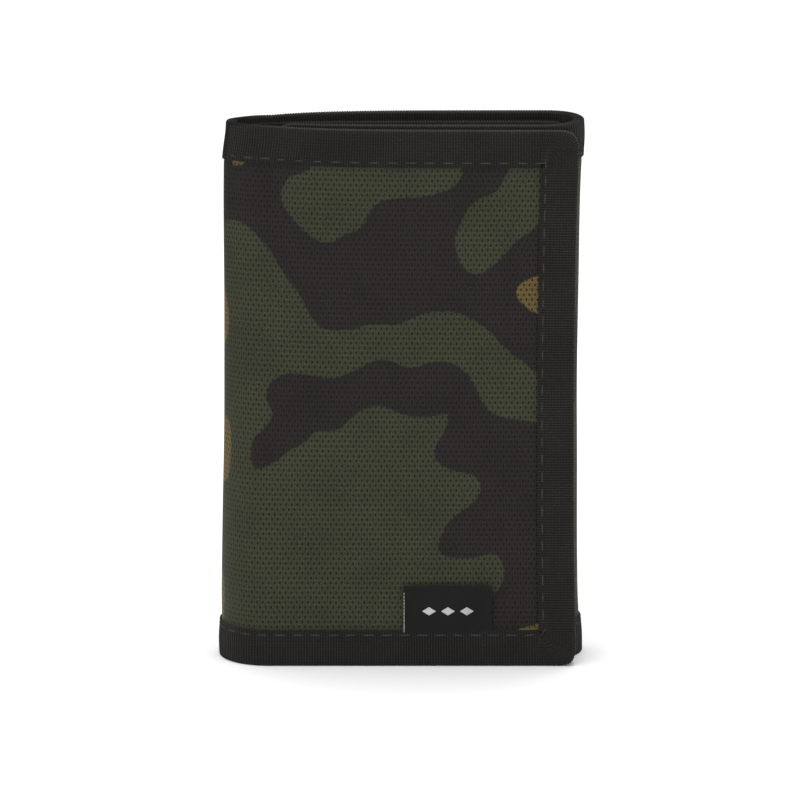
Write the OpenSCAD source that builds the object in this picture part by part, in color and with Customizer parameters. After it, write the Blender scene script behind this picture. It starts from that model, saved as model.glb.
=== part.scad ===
// Trifold wallet in printed canvas: closed, standing on its lower edge.
// X runs across the wallet, the front faces -Y and Z is up. Millimetres.
// The sheets lie in depth order from the front face (d = 0) to the back face (d = depth).

/* [Overall] */
// Width of the closed wallet
wallet_w = 84; // [78:1:100]
// Height of the wallet
wallet_h = 126.5; // [106:0.5:150]
// Corner radius of the free edges
corner_r = 4; // [2:0.5:6]
// How far the front flap stops short of the right fold
flap_short = 1.5; // [1:0.1:3]

/* [Sheets] */
// Thickness of the printed canvas
canvas_t = 0.7; // [0.5:0.05:0.9]
// Thickness of the stiffening board in each panel
board_t = 0.5; // [0.4:0.05:0.7]
// Thickness of the lining
lining_t = 0.3; // [0.2:0.05:0.4]
// Thickness of the note compartment's inner wall
wall_t = 0.5; // [0.4:0.05:0.6]

/* [Binding tape] */
// Visible width of the tape
tape_w = 8.5; // [6.5:0.5:10.5]
// Thickness of the tape on the shell
tape_t = 0.5; // [0.4:0.05:0.6]
// Thickness of the tape on the inner walls
wall_tape_t = 0.4; // [0.3:0.05:0.5]

/* [Compartments] */
// Depth of the note compartment in the back panel
bill_gap = 5.2; // [5:0.1:6.5]
// Depth of the note compartment in the two flaps
flap_gap = 1.2; // [1.1:0.1:1.6]
// Depth of the coin pocket
coin_gap = 1.6; // [1.5:0.1:2]
// How far the inner walls stay below the top
wall_drop = 1; // [0.5:0.5:4]
// Width of the pockets' seams
seam_w = 2; // [1.5:0.25:3]
// How far the highest card pocket stays below the top
card_drop = 25; // [15:1:35]
// Step from one card pocket's edge to the next
card_step = 12.5; // [8:0.5:15]

/* [Photo window] */
// Clear height below the window's frame
window_low = 31; // [15:1:40]
// Clear height above the window's frame
window_drop = 22; // [15:1:30]
// Width of the frame's bars
window_bar = 4; // [3:0.5:6]

/* [Closure] */
// Thickness of the hook strip
hook_t = 1.1; // [0.9:0.1:1.3]
// Thickness of the loop strip
loop_t = 0.9; // [0.7:0.1:1.1]
// Width of the hook strip
hook_w = 10; // [8:0.5:11]
// Clear height between the hook strip's ends and the tape
hook_end = 10.5; // [6:0.5:25]

/* [Label] */
// Distance of the tab's near edge from the middle
label_x = 0.7; // [-20:0.1:10]
// Width of the tab
label_w = 20.5; // [15:0.5:22]
// Visible height of the tab
label_h = 10.5; // [8:0.5:14]

/* [Zip] */
// How far the zip stays below the top
zip_drop = 39; // [30:1:50]
// Length of the puller below its pivot
puller_l = 13; // [10:1:16]

/* [Part to draw] */
// Sub-part to draw, or all

/* [Hidden] */
$fn = 96;
clear = 0.35; // between sheets of different panels
fold_gap = 0.3; // between a fold and the panel beside it
g = fold_gap / sqrt(2);

// Depths inside one panel, from its outer face
d_canvas = tape_t;
d_board = d_canvas + canvas_t;
d_lining = d_board + board_t;
d_shell = d_lining + lining_t;
d_wall = d_shell + flap_gap;
d_wall_in = d_wall + wall_t;
flap_pack = d_wall_in + wall_tape_t;

// Depths through the closed wallet, from the front face
window_t = 0.8;
pane_y = 0.3; // room for a photo behind the pane
pane_t = 0.2;
hook_y = d_wall_in + hook_t;
loop_y = hook_y + clear;
inner_y = loop_y + loop_t - tape_t; // outer face of the inner panel's tape
coin_y = inner_y + d_wall_in; // inner face of its wall
sheet_t = 0.5;
sheet_y = coin_y + coin_gap;
zip_tape_t = 0.4;
chain_y = sheet_y - zip_tape_t / 2; // middle of the zip's teeth
slider_half = 1.1;
bail_h = 1.25;
card_y = chain_y + slider_half + bail_h + clear;
card_t = 0.4;
card_gap = 0.3;
card_pitch = card_t + card_gap;
card_count = 3;
back_wall_y = card_y + card_count * card_pitch; // inner face of the back's wall
back_d_wall_in = wall_t + bill_gap + d_shell; // the same from the back face
depth = back_wall_y + back_d_wall_in;

// Folds: an outer arc for the shell and a smaller arc for the inner walls
left_r = depth / 2;
right_r = (depth - inner_y) / 2;
left_x = -wallet_w / 2 + left_r;
right_x = wallet_w / 2 - right_r;
left_wall_r = (back_wall_y - d_wall_in) / 2;
right_wall_r = (back_wall_y - coin_y) / 2;
wall_off = (back_d_wall_in - d_wall_in) / 2; // the wall arcs' centres sit this far forward

// Free edges
edge_x = wallet_w / 2 - flap_short;
inner_edge_x = left_x + 0.4;
front_len = edge_x - left_x;
inner_len = right_x - inner_edge_x;
back_len = right_x - left_x;
wall_top = wallet_h - wall_drop;

// Hinge lines, placed so that the canvas neither stretches nor shortens
bend = PI / 4;
left_axis = bend * (left_r - tape_t - canvas_t / 2);
right_axis = bend * (right_r - tape_t - canvas_t / 2);

// Window, closure, label
hook_x = edge_x - tape_w - hook_w - 1;
window_x = left_x + 2;
window_w = hook_x - 3 - window_x;
window_h = wallet_h - window_low - window_drop;
hook_z = tape_w + hook_end;
hook_h = wallet_h - 2 * hook_z;
loop_margin = 3; // the loop strip is larger than the hook strip by this
loop_w = hook_w + loop_margin;
loop_h = hook_h + 2 * loop_margin;
loop_x = min(hook_x - loop_margin / 2, right_x - loop_w);

// Coin pocket and zip
pocket_x0 = inner_edge_x + tape_w + 0.5;
pocket_x1 = right_x - 0.5;
zip_z = wallet_h - zip_drop;
chain_h = 4;
chain_t = 1.4;
wedge_slit = 0.7;
zip_tape_h = 6;
zip_x0 = pocket_x0 + 2;
zip_x1 = pocket_x1 - 2;
strip_h = 9;
mouth_h = 8.4; // the slit that shows the zip
stop_l = 0.8;
slider_l = 8;
slider_h = 6.6;
slider_x = zip_x1 - 1.2 - slider_l; // its left end, zip closed
post_x = slider_x + slider_l / 2; // the bail's post that the puller turns on
post_w = 1.2;
puller_t = 0.7;
puller_w = 3.6;

// Card pockets on the back panel's wall
card_x0 = left_x + 1.5;
card_w = back_len - 3;
card_z0 = tape_w + 1;
card_top = wallet_h - card_drop; // of the highest pocket, nearest the wall

canvas_colour = [0.27, 0.29, 0.20];
tape_colour = [0.13, 0.13, 0.13];
lining_colour = [0.18, 0.18, 0.19];
wall_colour = [0.16, 0.16, 0.17];
board_colour = [0.85, 0.84, 0.78];
metal_colour = [0.62, 0.60, 0.55];

// ---- Plan shapes, in a fold's own frame -------------------------------------
// The origin is the fold's centre, the fold bulges towards -X, the front is -Y.

module ring(r0, r1, off = 0) {
    translate([0, -off])
        difference() {
            circle(r1);
            circle(r0);
        }
}

// The quarter behind the fold's rear hinge line, at its middle, or before its front one
module zone(part) {
    far = 60;
    if (part == "rear")
        polygon([[0, g], [-far, far + g], [0, far + g]]);
    if (part == "middle")
        polygon([[-g, 0], [-g - far, far], [-g - far, -far]]);
    if (part == "front")
        polygon([[0, -g], [0, -far - g], [-far, -far - g]]);
}

module fold_plan(part, r0, r1, off = 0) {
    intersection() {
        ring(r0, r1, off);
        zone(part);
    }
}

// What lies between the shell's outer face and the inner wall's free face
module fold_web(part, r, wall_r) {
    intersection() {
        difference() {
            circle(r);
            translate([0, -wall_off]) circle(wall_r - wall_tape_t);
        }
        zone(part);
    }
}

module upright(z0, z1) {
    translate([0, 0, z0]) linear_extrude(z1 - z0) children();
}

// An outline in X and Z, as thick as the step between two depths
module face_on(y0, y1) {
    translate([0, y1, 0]) rotate([90, 0, 0]) linear_extrude(y1 - y0) children();
}

module box(x0, x1, y0, y1, z0, z1) {
    translate([x0, y0, z0]) cube([x1 - x0, y1 - y0, z1 - z0]);
}

// A rectangle whose right-hand corners are round
module rounded_end(x0, x1, z0, z1, r) {
    translate([x0, z0]) square([x1 - x0 - r, z1 - z0]);
    translate([x0, z0 + r]) square([x1 - x0, z1 - z0 - 2 * r]);
    for (z = [z0 + r, z1 - r])
        translate([x1 - r, z]) circle(r);
}

// ---- The three parts of a sheet: panel, fold and flap ------------------------

// A fold's share of a sheet, in the fold's own frame. Depths from the outer face.
module fold_sheet(part, r, a, b, z0, z1) {
    upright(z0, z1) fold_plan(part, r - b, r - a);
}

module fold_wall(part, wall_r, a, b, z0, z1) {
    upright(z0, z1) fold_plan(part, wall_r + a, wall_r + b, wall_off);
}

// Tape over the top of the shell in a fold
module fold_top_tape(part, r) {
    fold_sheet(part, r, 0, tape_t, wallet_h - tape_w, wallet_h);
    fold_sheet(part, r, d_shell, d_shell + tape_t, wallet_h - tape_w, wallet_h);
    fold_sheet(part, r, 0, d_shell + tape_t, wallet_h - tape_t, wallet_h);
}

// Tape over the top of the inner wall in a fold
module fold_wall_tape(part, wall_r) {
    z0 = wall_top - tape_w;
    fold_wall(part, wall_r, -wall_tape_t, 0, z0, wall_top);
    fold_wall(part, wall_r, wall_t, wall_t + wall_tape_t, z0, wall_top);
    fold_wall(part, wall_r, -wall_tape_t, wall_t + wall_tape_t, wall_top - wall_tape_t, wall_top);
}

// Tape round the lower edges of all the sheets in a fold
module fold_bottom_tape(part, r, wall_r) {
    fold_sheet(part, r, 0, tape_t, 0, tape_w);
    fold_wall(part, wall_r, -wall_tape_t, 0, 0, tape_w);
    upright(0, tape_t) fold_web(part, r, wall_r);
}

// A flap in its fold's frame: it runs from X = 0 to X = len on the front side
module flap_box(r, len, a, b, z0, z1) {
    box(0, len, a - r, b - r, z0, z1);
}

module flap_outline(r, len, inset) {
    intersection() {
        children();
        face_on(-3 * r, 3 * r)
            rounded_end(-2 * r, len - inset, inset, wallet_h - inset, corner_r - inset);
    }
}

module flap_sheet(r, len, a, b) {
    flap_outline(r, len, tape_t) {
        union() {
            flap_box(r, len, a, b, tape_t, wallet_h - tape_t);
            fold_sheet("front", r, a, b, tape_t, wallet_h - tape_t);
        }
    }
}

module flap_board(r, len) {
    inset = tape_w * 0.75;
    box(1, len - inset, d_board - r, d_lining - r, inset, wallet_h - inset);
}

module flap_wall(r, wall_r, len) {
    flap_outline(r, len, tape_t) {
        union() {
            flap_box(r, len, d_wall, d_wall_in, tape_t, wall_top - wall_tape_t);
            fold_wall("front", wall_r, 0, wall_t, tape_t, wall_top - wall_tape_t);
        }
    }
}

module flap_top_tape(r, len) {
    z0 = wallet_h - tape_w;
    flap_outline(r, len, 0) {
        union() {
            flap_box(r, len, 0, tape_t, z0, wallet_h);
            flap_box(r, len, d_shell, d_shell + tape_t, z0, wallet_h);
            flap_box(r, len, 0, d_shell + tape_t, wallet_h - tape_t, wallet_h);
            box(len - tape_t, len, -r, d_shell + tape_t - r, z0, wallet_h);
            fold_top_tape("front", r);
        }
    }
}

module flap_wall_tape(r, wall_r, len) {
    z0 = wall_top - tape_w;
    end = len - tape_w;
    flap_box(r, end, d_wall_in, flap_pack, z0, wall_top);
    flap_box(r, end, d_wall - wall_tape_t, d_wall, z0, wall_top);
    flap_box(r, end, d_wall - wall_tape_t, flap_pack, wall_top - wall_tape_t, wall_top);
    fold_wall_tape("front", wall_r);
}

// Tape round the lower edge and the free edge, over all the sheets at once
module flap_edge_tape(r, wall_r, len) {
    side_top = wallet_h - tape_w;
    flap_outline(r, len, 0) {
        union() {
            flap_box(r, len, 0, tape_t, 0, tape_w);
            flap_box(r, len, d_wall_in, flap_pack, 0, tape_w);
            flap_box(r, len, 0, flap_pack, 0, tape_t);
            fold_bottom_tape("front", r, wall_r);
            box(len - tape_w, len, -r, tape_t - r, tape_w, side_top);
            box(len - tape_w, len, d_wall_in - r, flap_pack - r, tape_w, wall_top);
            difference() {
                box(len - corner_r, len, -r, flap_pack - r, 0, side_top);
                face_on(tape_t - r, d_wall_in - r)
                    rounded_end(-1, len - tape_t, tape_t, wallet_h, corner_r - tape_t);
            }
            box(len - tape_t, len, d_wall - r, flap_pack - r, side_top, wall_top);
        }
    }
}

// ---- Places ------------------------------------------------------------------

module at_depth(d) {
    translate([0, d - depth / 2, 0]) children();
}

module at_left_fold() {
    translate([left_x, 0, 0]) children();
}

module at_right_fold() {
    translate([right_x, inner_y + right_r - depth / 2, 0])
        mirror([1, 0, 0]) children();
}

// The back panel's flat share of a sheet; depths from the back face
module back_box(a, b, z0, z1, x0 = left_x, x1 = right_x) {
    at_depth(depth) box(x0, x1, -b, -a, z0, z1);
}

module back_sheet(a, b) {
    z1 = wallet_h - tape_t;
    back_box(a, b, tape_t, z1);
    at_left_fold() fold_sheet("rear", left_r, a, b, tape_t, z1);
    at_right_fold() fold_sheet("rear", right_r, a, b, tape_t, z1);
}

// A pocket's front sheet with seams that reach the sheet behind it
module pocket_sheet(x0, x1, z0, z1, y, t, gap) {
    box(x0, x1, y, y + t, z0, z1);
    for (x = [x0, x1 - seam_w])
        box(x, x + seam_w, y + t, y + t + gap, z0, z1);
    box(x0, x1, y + t, y + t + gap, z0, z0 + seam_w);
}

// ---- Back panel ----------------------------------------------------------------

module back_canvas() {
    color(canvas_colour) back_sheet(d_canvas, d_board);
}

module back_board() {
    inset = tape_w * 0.75;
    color(board_colour)
        back_box(d_board, d_lining, inset, wallet_h - inset, left_x + 1, right_x - 1);
}

module back_lining() {
    color(lining_colour) back_sheet(d_lining, d_shell);
}

module back_wall() {
    z1 = wall_top - wall_tape_t;
    color(wall_colour) {
        back_box(back_d_wall_in - wall_t, back_d_wall_in, tape_t, z1);
        at_left_fold() fold_wall("rear", left_wall_r, 0, wall_t, tape_t, z1);
        at_right_fold() fold_wall("rear", right_wall_r, 0, wall_t, tape_t, z1);
    }
}

module back_top_tape() {
    z0 = wallet_h - tape_w;
    color(tape_colour) {
        back_box(0, tape_t, z0, wallet_h);
        back_box(d_shell, d_shell + tape_t, z0, wallet_h);
        back_box(0, d_shell + tape_t, wallet_h - tape_t, wallet_h);
        at_left_fold() fold_top_tape("rear", left_r);
        at_right_fold() fold_top_tape("rear", right_r);
    }
}

module back_wall_tape() {
    z0 = wall_top - tape_w;
    near = back_d_wall_in + wall_tape_t;
    far = back_d_wall_in - wall_t - wall_tape_t;
    color(tape_colour) {
        back_box(back_d_wall_in, near, z0, wall_top);
        back_box(far, back_d_wall_in - wall_t, z0, wall_top);
        back_box(far, near, wall_top - wall_tape_t, wall_top);
        at_left_fold() fold_wall_tape("rear", left_wall_r);
        at_right_fold() fold_wall_tape("rear", right_wall_r);
    }
}

module back_bottom_tape() {
    near = back_d_wall_in + wall_tape_t;
    color(tape_colour) {
        back_box(0, tape_t, 0, tape_w);
        back_box(back_d_wall_in, near, 0, tape_w);
        back_box(0, near, 0, tape_t);
        at_left_fold() fold_bottom_tape("rear", left_r, left_wall_r);
        at_right_fold() fold_bottom_tape("rear", right_r, right_wall_r);
    }
}

module card_pocket(i) {
    y = card_y + i * card_pitch;
    top = card_top - (card_count - 1 - i) * card_step;
    color(wall_colour)
        at_depth(0)
            pocket_sheet(card_x0, card_x0 + card_w, card_z0, top, y, card_t, card_gap);
}

// ---- The two folds ---------------------------------------------------------------

module fold_canvas(r) {
    color(canvas_colour)
        fold_sheet("middle", r, d_canvas, d_board, tape_t, wallet_h - tape_t);
}

module fold_lining(r) {
    color(lining_colour)
        fold_sheet("middle", r, d_board, d_shell, tape_t, wallet_h - tape_t);
}

module fold_inner_wall(wall_r) {
    color(wall_colour)
        fold_wall("middle", wall_r, 0, wall_t, tape_t, wall_top - wall_tape_t);
}

module left_fold_canvas() {
    at_left_fold() fold_canvas(left_r);
}

module left_fold_lining() {
    at_left_fold() fold_lining(left_r);
}

module left_fold_wall() {
    at_left_fold() fold_inner_wall(left_wall_r);
}

module left_fold_top_tape() {
    color(tape_colour) at_left_fold() fold_top_tape("middle", left_r);
}

module left_fold_wall_tape() {
    color(tape_colour) at_left_fold() fold_wall_tape("middle", left_wall_r);
}

module left_fold_bottom_tape() {
    color(tape_colour) at_left_fold() fold_bottom_tape("middle", left_r, left_wall_r);
}

module right_fold_canvas() {
    at_right_fold() fold_canvas(right_r);
}

module right_fold_lining() {
    at_right_fold() fold_lining(right_r);
}

module right_fold_wall() {
    at_right_fold() fold_inner_wall(right_wall_r);
}

module right_fold_top_tape() {
    color(tape_colour) at_right_fold() fold_top_tape("middle", right_r);
}

module right_fold_wall_tape() {
    color(tape_colour) at_right_fold() fold_wall_tape("middle", right_wall_r);
}

module right_fold_bottom_tape() {
    color(tape_colour) at_right_fold() fold_bottom_tape("middle", right_r, right_wall_r);
}

// ---- Front flap --------------------------------------------------------------------

module front_canvas() {
    color(canvas_colour) at_left_fold() flap_sheet(left_r, front_len, d_canvas, d_board);
}

module front_board() {
    color(board_colour) at_left_fold() flap_board(left_r, front_len);
}

module front_lining() {
    color(lining_colour) at_left_fold() flap_sheet(left_r, front_len, d_lining, d_shell);
}

module front_wall() {
    color(wall_colour) at_left_fold() flap_wall(left_r, left_wall_r, front_len);
}

module front_top_tape() {
    color(tape_colour) at_left_fold() flap_top_tape(left_r, front_len);
}

module front_wall_tape() {
    color(tape_colour) at_left_fold() flap_wall_tape(left_r, left_wall_r, front_len);
}

module front_edge_tape() {
    color(tape_colour) at_left_fold() flap_edge_tape(left_r, left_wall_r, front_len);
}

// Frame of the photo window; a slit under its top bar lets a photo in
module window_frame() {
    x1 = window_x + window_w;
    z1 = window_low + window_h;
    lap = window_bar / 2; // how far the pane reaches under the bars
    color(tape_colour)
        at_depth(d_wall_in)
            difference() {
                box(window_x, x1, 0, window_t, window_low, z1);
                box(
                    window_x + window_bar, x1 - window_bar, -1, 2,
                    window_low + window_bar, z1 - window_bar
                );
                box(window_x + lap, x1 - lap, -1, pane_y, window_low + lap, z1 + 1);
                box(window_x + lap, x1 - lap, 0, pane_y + pane_t, window_low + lap, z1 - lap);
            }
}

module window_pane() {
    lap = window_bar / 2;
    z1 = window_low + window_h - lap;
    color([0.8, 0.85, 0.9, 0.5])
        at_depth(d_wall_in)
            box(
                window_x + lap, window_x + window_w - lap, pane_y, pane_y + pane_t,
                window_low + lap, z1
            );
}

module hook_strip() {
    color(tape_colour)
        at_depth(d_wall_in) box(hook_x, hook_x + hook_w, 0, hook_t, hook_z, hook_z + hook_h);
}

// Folded tab sewn into the lower tape
module label_tab() {
    color([0.14, 0.14, 0.14])
        at_depth(0) box(label_x, label_x + label_w, 0, tape_t, tape_w, tape_w + label_h);
}

// ---- Inner panel --------------------------------------------------------------------

module inner_canvas() {
    color(canvas_colour) at_right_fold() flap_sheet(right_r, inner_len, d_canvas, d_board);
}

module inner_board() {
    color(board_colour) at_right_fold() flap_board(right_r, inner_len);
}

module inner_lining() {
    color(lining_colour) at_right_fold() flap_sheet(right_r, inner_len, d_lining, d_shell);
}

module inner_wall() {
    color(wall_colour) at_right_fold() flap_wall(right_r, right_wall_r, inner_len);
}

module inner_top_tape() {
    color(tape_colour) at_right_fold() flap_top_tape(right_r, inner_len);
}

module inner_wall_tape() {
    color(tape_colour) at_right_fold() flap_wall_tape(right_r, right_wall_r, inner_len);
}

module inner_edge_tape() {
    color(tape_colour) at_right_fold() flap_edge_tape(right_r, right_wall_r, inner_len);
}

module loop_strip() {
    z0 = (wallet_h - loop_h) / 2;
    color(tape_colour) at_depth(loop_y) box(loop_x, loop_x + loop_w, 0, loop_t, z0, z0 + loop_h);
}

// Coin pocket below the zip, with seams that reach the wall
module coin_pocket() {
    z1 = zip_z - mouth_h / 2;
    y0 = coin_y - sheet_y;
    color(wall_colour)
        at_depth(sheet_y) {
            box(pocket_x0, pocket_x1, 0, sheet_t, card_z0, z1);
            for (x = [pocket_x0, pocket_x1 - seam_w])
                box(x, x + seam_w, y0, 0, card_z0, z1 - zip_tape_h);
            box(pocket_x0, pocket_x1, y0, 0, card_z0, card_z0 + seam_w);
        }
}

// Strip above the zip
module coin_strip() {
    z0 = zip_z + mouth_h / 2;
    y0 = coin_y - sheet_y;
    color(wall_colour)
        at_depth(sheet_y) {
            box(pocket_x0, pocket_x1, 0, sheet_t, z0, z0 + strip_h);
            box(pocket_x0, pocket_x1, y0, 0, z0 + strip_h - seam_w, z0 + strip_h);
        }
}

// The two woven tapes that carry the teeth
module zip_tapes() {
    y1 = zip_tape_t / 2;
    z0 = zip_z + chain_h / 2;
    color(tape_colour)
        at_depth(chain_y) {
            box(pocket_x0, pocket_x1, -y1, y1, z0, z0 + zip_tape_h);
            box(pocket_x0, pocket_x1, -y1, y1, 2 * zip_z - z0 - zip_tape_h, 2 * zip_z - z0);
            box(pocket_x0, zip_x0 - stop_l, -y1, y1, 2 * zip_z - z0, z0);
            box(zip_x1 + stop_l, pocket_x1, -y1, y1, 2 * zip_z - z0, z0);
        }
}

// The closed chain of teeth: two rows, with a slit for the slider's wedge between them
module zip_teeth() {
    half = chain_t / 2;
    color(metal_colour)
        at_depth(chain_y)
            for (z = [zip_z - chain_h / 2, zip_z + wedge_slit / 2])
                box(zip_x0, zip_x1, -half, half, z, z + (chain_h - wedge_slit) / 2);
}

// A stop at each end of the chain
module zip_stops() {
    half = chain_t / 2 + 0.2;
    color(metal_colour)
        at_depth(chain_y)
            for (x = [zip_x0 - stop_l, zip_x1])
                box(x, x + stop_l, -half, half, zip_z - chain_h / 2, zip_z + chain_h / 2);
}

// Two plates joined by a thin wedge, with a bail over the front
module zip_slider() {
    x1 = slider_x + slider_l;
    reach = slider_half + bail_h;
    room = chain_t / 2 + 0.3;
    half = slider_h / 2;
    post = post_w / 2;
    bar = 0.8; // the bail's far leg stands clear of the puller's swing
    bail_x = post_x + puller_w / 2 + 1.2;
    color(metal_colour)
        at_depth(chain_y) {
            box(x1 - 2.2, x1 - 0.2, -room, room, zip_z - 0.1, zip_z + 0.1);
            difference() {
                box(slider_x, x1, -slider_half, slider_half, zip_z - half, zip_z + half);
                box(slider_x - 1, x1 + 1, -room, room, zip_z - 2.4, zip_z + 2.4);
                box(slider_x - 1, x1 + 1, -0.5, 0.5, zip_z - 10, zip_z + 10);
            }
            box(post_x - post, post_x + post, slider_half, reach, zip_z - post, zip_z + post);
            box(bail_x, bail_x + bar, slider_half, reach, zip_z - bar / 2, zip_z + bar / 2);
            box(post_x - post, bail_x + bar, reach - 0.25, reach, zip_z - bar / 2, zip_z + bar / 2);
        }
}

// Flat puller that hangs from the bail's post
module zip_puller() {
    half = puller_w / 2;
    low = zip_z - puller_l;
    y0 = slider_half + 0.15;
    color(metal_colour)
        at_depth(chain_y)
            face_on(y0, y0 + puller_t)
                difference() {
                    union() {
                        translate([post_x, zip_z]) circle(half);
                        translate([post_x - half, low + 1.5]) square([puller_w, puller_l - 1.5]);
                        translate([post_x - half + 1.5, low]) square([puller_w - 3, 2]);
                        for (s = [-1, 1])
                            translate([post_x + s * (half - 1.5), low + 1.5]) circle(1.5);
                    }
                    translate([post_x, zip_z]) circle(post_w * 0.9);
                    translate([post_x - 1, low + 1.5]) square([2, 3]);
                }
}

back_canvas();
back_board();
back_lining();
back_wall();
back_top_tape();
back_wall_tape();
back_bottom_tape();
card_pocket(0);  // card_pocket_1
card_pocket(1);  // card_pocket_2
card_pocket(2);  // card_pocket_3
left_fold_canvas();
left_fold_lining();
left_fold_wall();
left_fold_top_tape();
left_fold_wall_tape();
left_fold_bottom_tape();
front_canvas();
front_board();
front_lining();
front_wall();
front_top_tape();
front_wall_tape();
front_edge_tape();
window_frame();
window_pane();
hook_strip();
label_tab();
right_fold_canvas();
right_fold_lining();
right_fold_wall();
right_fold_top_tape();
right_fold_wall_tape();
right_fold_bottom_tape();
inner_canvas();
inner_board();
inner_lining();
inner_wall();
inner_top_tape();
inner_wall_tape();
inner_edge_tape();
loop_strip();
coin_pocket();
coin_strip();
zip_tapes();
zip_teeth();
zip_stops();
zip_slider();
zip_puller();
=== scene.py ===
"""Trifold wallet in printed canvas, dressed on its CAD frame.

The wallet's shell is one long strip of cloth that runs from the front flap round the
left fold, over the back and round the right fold to the inner panel. Places on it are
given along the strip (s), up the wallet (z) and down from the outer face (d).
"""

import logging
import math
from dataclasses import dataclass, field
from enum import Enum
from typing import Callable, Sequence

import bmesh
import bpy
import numpy as np
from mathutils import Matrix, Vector


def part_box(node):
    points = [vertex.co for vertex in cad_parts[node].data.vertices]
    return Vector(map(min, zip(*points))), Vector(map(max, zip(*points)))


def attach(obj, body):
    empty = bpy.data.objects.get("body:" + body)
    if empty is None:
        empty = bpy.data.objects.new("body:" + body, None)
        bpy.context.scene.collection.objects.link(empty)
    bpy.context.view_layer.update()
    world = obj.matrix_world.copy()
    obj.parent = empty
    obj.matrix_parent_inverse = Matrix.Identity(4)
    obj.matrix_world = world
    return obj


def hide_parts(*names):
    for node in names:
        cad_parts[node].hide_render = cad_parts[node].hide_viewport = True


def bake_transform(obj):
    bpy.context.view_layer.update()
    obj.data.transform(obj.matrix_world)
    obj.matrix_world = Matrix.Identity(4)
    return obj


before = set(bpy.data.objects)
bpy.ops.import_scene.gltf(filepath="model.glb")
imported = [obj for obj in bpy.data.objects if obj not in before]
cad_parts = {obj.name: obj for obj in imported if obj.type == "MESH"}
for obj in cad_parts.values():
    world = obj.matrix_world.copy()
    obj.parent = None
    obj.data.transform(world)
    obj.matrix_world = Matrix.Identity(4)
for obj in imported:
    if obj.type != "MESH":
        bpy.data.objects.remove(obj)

LOG = logging.getLogger("wallet")
MM = 0.001
CLOTH_UV = "cloth"


class Zone(Enum):
    """A share of the strip that bends as one: the two bodies that it joins."""

    FRONT = ("left_spine", "front_flap")
    BACK_LEFT = ("back_panel", "left_spine")
    BACK_RIGHT = ("back_panel", "right_spine")
    INNER = ("right_spine", "inner_panel")

    @property
    def word(self) -> str:
        """The zone's word in a piece's name."""
        return self.name.lower()


# ---- Finishes ---------------------------------------------------------------------


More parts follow.
